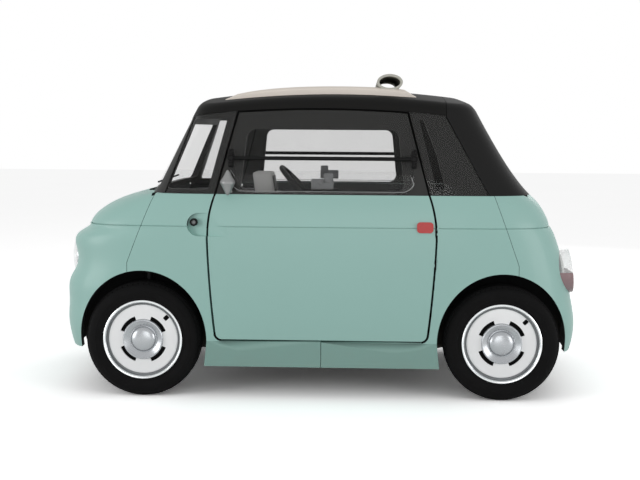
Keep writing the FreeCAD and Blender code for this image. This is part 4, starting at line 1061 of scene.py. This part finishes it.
@dataclass
class Doors:
    """Bars, mirrors, markers, latches and handles; the right door is the left one turned half round."""

    bar_level: float = 1.157
    bar_radius: float = 0.0095
    bar_depth: float = 0.6375
    bar_ends: tuple[float, float] = (-0.4244, 0.4494)
    bracket_face: float = 0.6465
    bracket_size: Point = (0.025, 0.021, 0.088)
    bolt_height: float = 0.034
    mirror_place: Point = (-0.431, -0.7085, 1.042)
    arm_depth: float = 0.655
    latch_foot: float = 1.01
    pane_foot: float = 1.0
    pane_ends: tuple[float, float] = (-0.424, 0.452)
    pane_corner: float = 0.062
    pane_tops: tuple[float, float] = (1.1, 1.14)
    pane_limit: float = -0.66
    outside: float = -1.0

    def bar(self) -> Piece:
        """Round bar across the window with a bracket and a knob at each end."""
        level, depth, face = self.bar_level, self.bar_depth, self.bracket_face
        width, thickness, height = self.bracket_size
        line = [(x, -depth, level) for x in (self.bar_ends[0], MIDDLE, self.bar_ends[1])]
        pieces = [tube(line, self.bar_radius, sides=5)]
        for end in self.bar_ends:
            pieces.append(rounded_block((end - width / 2, -face, level - height / 2),
                                        (end + width / 2, thickness - face, level + height / 2), 0.006, 3))
            knob = lathe(scaled(((0, -7.5), (10, -7.5), (15.5, -5), (17.5, 0), (17.5, 12), (0, 12))), 32,
                         sharp=35.0)
            pieces.append(placed(knob, at((end, -face - 0.001, level))))
            for rise in (-self.bolt_height, self.bolt_height):
                bolt = lathe(scaled(((0, -4), (4, -3.8), (6, -2), (6.5, 2), (0, 2))), 18, sharp=35.0)
                pieces.append(placed(bolt, at((end, -face, level + rise))))
        return joined(pieces)

    def mirror(self) -> Piece:
        """Soft diamond on a short arm."""
        x, y, z = place = self.mirror_place
        head = lathe(scaled(((0, -59.5), (5, -58.5), (9.5, -54), (19, -35), (30, -12), (35.2, -4), (36.5, 1),
                             (34.5, 7), (27, 18), (15, 38), (8, 53), (4.5, 58.5), (0, 59.5))), 48)
        modify(head, "SUBSURF", levels=1, render_levels=1)
        bpy.ops.object.shade_smooth()
        head = placed(head, at(place, 90.0, "X"))
        arm = tube([(x, y + 0.018, z - 0.006), (x + 0.006, y + 0.045, z - 0.028),
                    (x + 0.012, -self.arm_depth, z - 0.047)], 0.006, sides=4)
        return joined([head, arm])

    def latch(self) -> Piece:
        """Catch of the flap window, inside the pane."""
        low = self.latch_foot
        base = rounded_block((-0.04, -0.628, low), (0.066, -0.606, low + 0.05), 0.005)
        tongue = rounded_block((0.02, -0.632, low + 0.03), (0.064, -0.604, low + 0.076), 0.006)
        knob = lathe(scaled(((0, -10), (9, -10), (12, -7), (12, 6), (0, 6))), 28, sharp=35.0)
        return joined([base, tongue, placed(knob, at((0.006, -0.632, low + 0.034)))])

    def pane_edge_highlight(self) -> Piece:
        """Pale line along the foot of the flap window, rounded at its corners: a painted highlight of the pane's
        edge.
        """
        (left, right), corner, (lower, upper) = self.pane_ends, self.pane_corner, self.pane_tops
        outline = [(left + 0.012, upper), (left, lower)]
        for middle, first in ((left + corner, 180), (right - corner, 270)):
            for turn in (math.radians(first + 15 * step) for step in range(7)):
                outline.append((middle + corner * math.cos(turn),
                                self.pane_foot + corner * (1 + math.sin(turn))))
        outline += [(right, lower), (right - 0.012, upper)]
        line = []
        for x, z in outline:
            place = hit("door_left_glass", (x, self.outside, z), (0, 1, 0))
            line.append((place.x, max(place.y, self.pane_limit) - 0.0005, place.z))
        return tube(line, 0.0017, sides=2)

    def handles(self) -> None:
        """Round push button with a black ring and a grey middle, on the body by each door's free edge."""
        low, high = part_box("handle_buttons")
        place = Vector((low.x + 0.018, low.y, (low.z + high.z) / 2))
        ring = ((10.8, 4), (11.2, -1.2), (13.5, -3.2), (16.5, -2.8), (18, 0), (18, 28), (10.8, 28))
        cap = ((0, 2.2), (6, 2.6), (10, 4), (10.7, 5.5), (10.7, 28), (0, 28))
        for profile, name, skin in ((ring, "handle_rings", Skin.BUTTON), (cap, "handle_caps", Skin.GREY)):
            left = placed(lathe(scaled(profile), 40, sharp=35.0), at(place))
            dress(doubled(left, half_turn(MIDDLE)), name, skin, "body")
        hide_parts("handle_buttons")

    def build(self) -> None:
        """Make the left door's fittings and turn copies of them for the right door."""
        made = (("bar", self.bar(), Skin.BUTTON, "black_trim", "bar"),
                ("mirror", self.mirror(), Skin.SATIN, "mirror_chrome", "mirror"),
                ("latch", self.latch(), Skin.GREY, "black_trim", ""),
                # The pale line round the flap window is a painted highlight.
                ("pane_edge_highlight", self.pane_edge_highlight(), Skin.SATIN, "", ""))
        for name, piece, skin, slot, node in made:
            other = copy_of(piece, half_turn(MIDDLE))
            for side, one in (("left", piece), ("right", other)):
                dress(one, f"{name}_{side}", skin, f"door_{side}")
                if node:
                    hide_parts(f"door_{side}_{node}")
        for side, _ in SIDES:
            refined(f"door_{side}_marker", Skin.RED, 0.003)
        self.handles()


@dataclass
class Lamps:
    """Round head and tail lamps."""

    head_depth: float = 0.405
    head_sink: float = 0.024
    tail_depth: float = 0.47
    tail_sink: float = 0.05
    tail_lean: float = -6.5

    def head(self) -> None:
        """Clear lens over a bright bowl and a white bulb."""
        refined("headlamps", Skin.LAMP, 0.004)
        low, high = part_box("headlamps")
        place = at((low.x + self.head_sink, -self.head_depth, (low.z + high.z) / 2), -90.0, "Z")
        bowl = ((62, -6), (69, -7.5), (71.5, -4), (68, 4), (55, 20), (34, 32), (14, 36), (0, 36.5), (0, 40),
                (36, 37), (60, 22), (72.5, 4), (73.5, -7), (69, -9.5), (61, -8))
        bulb = ((0, -4), (9, -3), (16, 2), (19, 10), (18, 30), (0, 36))
        for profile, steps, name, skin in ((bowl, 64, "headlamp_bowls", Skin.CHROME),
                                           (bulb, 40, "headlamp_bulbs", Skin.GLOW)):
            left = placed(lathe(scaled(profile), steps, sharp=40.0), place)
            dress(doubled(left, at((0, 2 * self.head_depth, 0))), name, skin, "body")

    def tail(self) -> None:
        """Two-colour lens with a pale plate behind."""
        refined("tail_lamps", Skin.TAIL, 0.006)
        low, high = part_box("tail_lamps")
        place = at((high.x - self.tail_sink, -self.tail_depth, (low.z + high.z) / 2), self.tail_lean)
        plate = lathe(scaled(((0, 0), (86, 0), (90, 2), (92, 6), (92, 12), (0, 12))), 56, sharp=35.0)
        left = placed(plate, place @ at((0, 0, 0), 90.0, "Z"))
        both = doubled(left, at((0, 2 * self.tail_depth, 0)))
        dress(both, "tail_lamp_plates", Skin.GLOW, "body")

    def build(self) -> None:
        """Dress the lamps."""
        self.head()
        self.tail()


@dataclass
class Underside:
    """Chassis, axles and the heavy blocks."""

    fine_edge: float = 0.001
    block_edge: float = 0.006

    def build(self) -> None:
        """Dress what shows below and inside the arches."""
        refined("chassis", Skin.LINER, self.fine_edge)
        for node in ("front_arms", "rear_axle", "knuckle_left", "knuckle_right"):
            refined(node, Skin.STEEL, self.fine_edge)
        for node in ("drive_unit", "battery"):
            refined(node, Skin.ALLOY, self.block_edge)


@dataclass
class Cabin:
    """Seats, dashboard and steering."""

    width: float = 0.43
    spread: float = 0.262
    front: float = -0.055
    length: float = 0.4
    level: float = 0.512
    thickness: float = 0.095
    back_foot: float = 0.352
    back_level: float = 0.452
    back_height: float = 0.535
    back_thickness: float = 0.075
    lean: float = 20.0
    pad_inset: float = 0.014
    pad_edge: float = 0.026
    voxel: float = 0.011
    channel_width: float = 0.072
    channel_depth: float = 0.0055
    channel_limit: float = 0.3
    pod_lean: float = -0.14
    pod_shift: float = 0.038
    pedal_lean: float = -28.0
    belt_route: tuple[Point, ...] = ((0.5, 0.565, 1.2), (0.53, 0.575, 1.0), (0.55, 0.585, 0.78),
                                     (0.5, 0.56, 0.58), (0.47, 0.52, 0.48))
    belt_half: float = 0.02
    buckle_inset: float = 0.195

    def channel(self, across: float) -> float:
        """Depth of the sewn channels at a place across a seat."""
        place = across / self.channel_width
        off = abs(place - round(place))
        return self.channel_depth * math.exp(-(off / 0.09) ** 2)

    def cushion(self) -> Piece:
        """Cushion of the left seat, crowned, with sewn channels front to back."""
        half = self.width / 2 - self.pad_inset
        low = (self.front + 0.008, -self.spread - half, self.level - self.thickness + 0.008)
        high = (self.front + self.length - 0.008, -self.spread + half, self.level - 0.01)
        pad = plumped(rounded_block(low, high, self.pad_edge, 4), self.voxel, 0.01)
        for vert, facing in facings(pad, 2):
            if facing > self.channel_limit:
                vert.co.z -= self.channel(vert.co.y + self.spread) * min(1.0, facing)
        return pad

    def leaned(self, piece: Piece) -> Piece:
        """Lean a piece that stands at the origin back, and put it at the left backrest's foot."""
        return placed(piece, at((self.back_foot, -self.spread, self.back_level), self.lean))

    def backrest(self) -> Piece:
        """Backrest of the left seat, narrower at its head, with sewn channels up and down."""
        half = self.width / 2 - self.pad_inset
        high = (self.back_thickness, half, self.back_height)
        pad = plumped(rounded_block((0.006, -half, 0.0), high, self.pad_edge, 4), self.voxel, 0.009)
        for vert, facing in facings(pad, 0):
            share = vert.co.z / self.back_height
            vert.co.y *= 1 - 0.16 * max(0.0, share - 0.45) ** 1.5 / 0.41
            if facing < -self.channel_limit:
                vert.co.x += self.channel(vert.co.y) * min(1.0, -facing)
        return self.leaned(pad)

    def shell(self) -> Piece:
        """Plastic foot and back shell of the left seat."""
        middle, rear = -self.spread, self.back_thickness
        foot = rounded_block((0.0, middle - 0.1435, 0.236), (0.35, middle + 0.1435, 0.412), 0.018, 3)
        tray = rounded_block((self.front + 0.02, middle - 0.19, 0.402), (0.36, middle + 0.19, 0.426), 0.01)
        back = rounded_block((rear - 0.004, -0.185, 0.01), (rear + 0.014, 0.185, 0.5), 0.008)
        return joined([foot, tray, self.leaned(back)])

    def seats(self) -> None:
        """Two seats, each a cushion, a backrest and a shell."""
        across = at((0, 2 * self.spread, 0))
        made = (("cushion", self.cushion(), Skin.SEAT), ("backrest", self.backrest(), Skin.SEAT),
                ("shell", self.shell(), Skin.TRIM))
        for name, piece, skin in made:
            twin = copy_of(piece, across)
            for side, one in (("left", piece), ("right", twin)):
                dress(one, f"seat_{side}_{name}", skin, "body")
                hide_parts(f"seat_{side}")

    def belts(self) -> None:
        """Safety belt from each door pillar down to its seat, and its buckle."""
        for side, sign in SIDES:
            strap = tube([(x, sign * y, z) for x, y, z in self.belt_route], 0.0035, sides=1)
            for vert, facing in facings(strap, 0):
                vert.co.x += self.belt_half if facing > 0 else -self.belt_half
            inner = sign * (self.spread - self.buckle_inset)
            buckle = rounded_block((0.36, inner - 0.012, 0.44), (0.385, inner + 0.012, 0.55), 0.005)
            dress(strap, f"belt_{side}", Skin.BELT, "body")
            dress(buckle, f"buckle_{side}", Skin.BUTTON, "body")

    def pod(self) -> None:
        """Pale instrument pod, leaning back, with a dark screen towards the driver."""
        low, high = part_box("instrument_pod")
        shell = rounded_block((low.x + 0.01, low.y, low.z - 0.006),
                              (high.x + 0.012, high.y, high.z - 0.004), 0.014, 3)
        glass = rounded_block((high.x + 0.008, low.y + 0.018, low.z + 0.024),
                              (high.x + 0.0145, high.y - 0.018, high.z - 0.022), 0.003)
        for piece in (shell, glass):
            for vert in piece.data.vertices:
                vert.co.x += (vert.co.z - low.z) * self.pod_lean + self.pod_shift
        dress(shell, "pod_shell", Skin.POD, "body")
        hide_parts("instrument_pod")
        dress(glass, "pod_screen", Skin.BUTTON, "body")

    def pedals(self) -> None:
        """Two pedals below the dashboard."""
        pieces = []
        for y, width in ((-0.3, 0.042), (-0.2, 0.06)):
            pad = rounded_block((-0.006, -width / 2, -0.032), (0.006, width / 2, 0.032), 0.004)
            pieces.append(placed(pad, at((-0.52, y, 0.36), self.pedal_lean)))
            line = [(-0.527, y, 0.37), (-0.548, y, 0.47), (-0.56, y, 0.6), (-0.56, y, 0.78)]
            pieces.append(tube(line, 0.006))
        dress(joined(pieces), "pedals", Skin.STEEL, "body")

    def build(self) -> None:
        """Dress the inside."""
        self.seats()
        self.belts()
        self.pod()
        self.pedals()
        for node in ("dashboard", "steering_column"):
            refined(node, Skin.DASH, 0.006)
        refined("steering_wheel", Skin.BUTTON, 0.001)


@dataclass
class Studio:
    """Camera, light and floor."""

    eye: Point = (0.2001, -6.1093, 1.29235)
    yaw: float = 0.0358
    pitch: float = 0.09546
    roll: float = 0.00675
    focal_pixels: float = 1149.24
    image_width: float = 640.0
    sensor: float = 36.0
    surround: float = 0.54
    floor_tones: tuple[float, float] = (1.7, 1.74)
    floor_bounce: float = 0.3
    floor_size: float = 60.0

    def camera(self) -> None:
        """Camera at the photograph's place and angle."""
        sine, cosine, level = math.sin(self.yaw), math.cos(self.yaw), math.cos(self.pitch)
        ahead = Vector((-sine * level, cosine * level, -math.sin(self.pitch)))
        right = Vector((cosine, sine, 0.0))
        up = right.cross(ahead)
        across = right * math.cos(self.roll) + up * math.sin(self.roll)
        upward = up * math.cos(self.roll) - right * math.sin(self.roll)
        deselect()
        bpy.ops.object.camera_add(location=self.eye)
        camera = bpy.context.object
        columns = Matrix((across, upward, -ahead)).transposed()
        camera.matrix_world = Matrix.Translation(self.eye) @ columns.to_4x4()
        camera.data.lens = self.focal_pixels / self.image_width * self.sensor
        camera.data.sensor_width = self.sensor
        camera.data.clip_end = 200.0
        bpy.context.scene.camera = camera

    def floor(self) -> None:
        """Plain pale floor that keeps the shadow."""
        deselect()
        bpy.ops.mesh.primitive_plane_add(size=self.floor_size, location=(0, 0, 0))
        floor = bpy.context.object
        floor.name = "studio_floor"
        s = Shader("pale_floor")
        dull, pale, light = ((tone, tone, tone, 1.0) for tone in (self.floor_bounce, *self.floor_tones))
        colour = s.mix(s.seen(), dull, s.mix(s.noise(0.7, 2.0), pale, light))
        base = s.wire("ShaderNodeBsdfDiffuse", {}, {"Color": colour})
        s.node("ShaderNodeOutputMaterial", {}, {"Surface": base})
        floor.data.materials.append(s.owner)

    def lamp(self, name: str, place: Point, aim: Point, size: float, power: float) -> None:
        """Square soft light aimed at a point."""
        deselect()
        bpy.ops.object.light_add(type="AREA", location=place)
        light = bpy.context.object
        light.name = name
        light.rotation_euler = (Vector(aim) - Vector(place)).to_track_quat("-Z", "Y").to_euler()
        light.data.size = size
        light.data.energy = power

    def world(self) -> None:
        """White surroundings, lighting at a plain level."""
        s = Shader("studio_world", world=True)
        strength = s.wire("ShaderNodeMapRange", {}, {0: s.seen(), 3: self.surround, 4: 1.0})
        sky = s.wire("ShaderNodeBackground", {}, {"Color": (1, 1, 1, 1), "Strength": strength})
        s.node("ShaderNodeOutputWorld", {}, {"Surface": sky})
        bpy.context.scene.world = s.owner

    def build(self) -> None:
        """Set up the whole studio."""
        bpy.context.scene.view_settings.view_transform = "Standard"
        self.camera()
        self.world()
        self.floor()
        self.lamp("front_light", (-5.6, -3.8, 1.4), (-0.5, 0, 0.6), 3.0, 115.0)
        self.lamp("rear_light", (5.6, -3.8, 1.4), (0.5, 0, 0.6), 3.0, 95.0)
        self.lamp("side_light", (0.0, -7.4, 1.7), (0, 0, 0.6), 3.5, 75.0)
        self.lamp("far_light", (3.0, 5.0, 3.5), (0, 0, 0.6), 3.0, 45.0)


def main() -> None:
    """Build the scene's pieces in order."""
    Studio().build()
    Panels().build()
    Doors().build()
    Lamps().build()
    Underside().build()
    Cabin().build()
    Wheels().build()


if __name__ == "__main__":
    main()
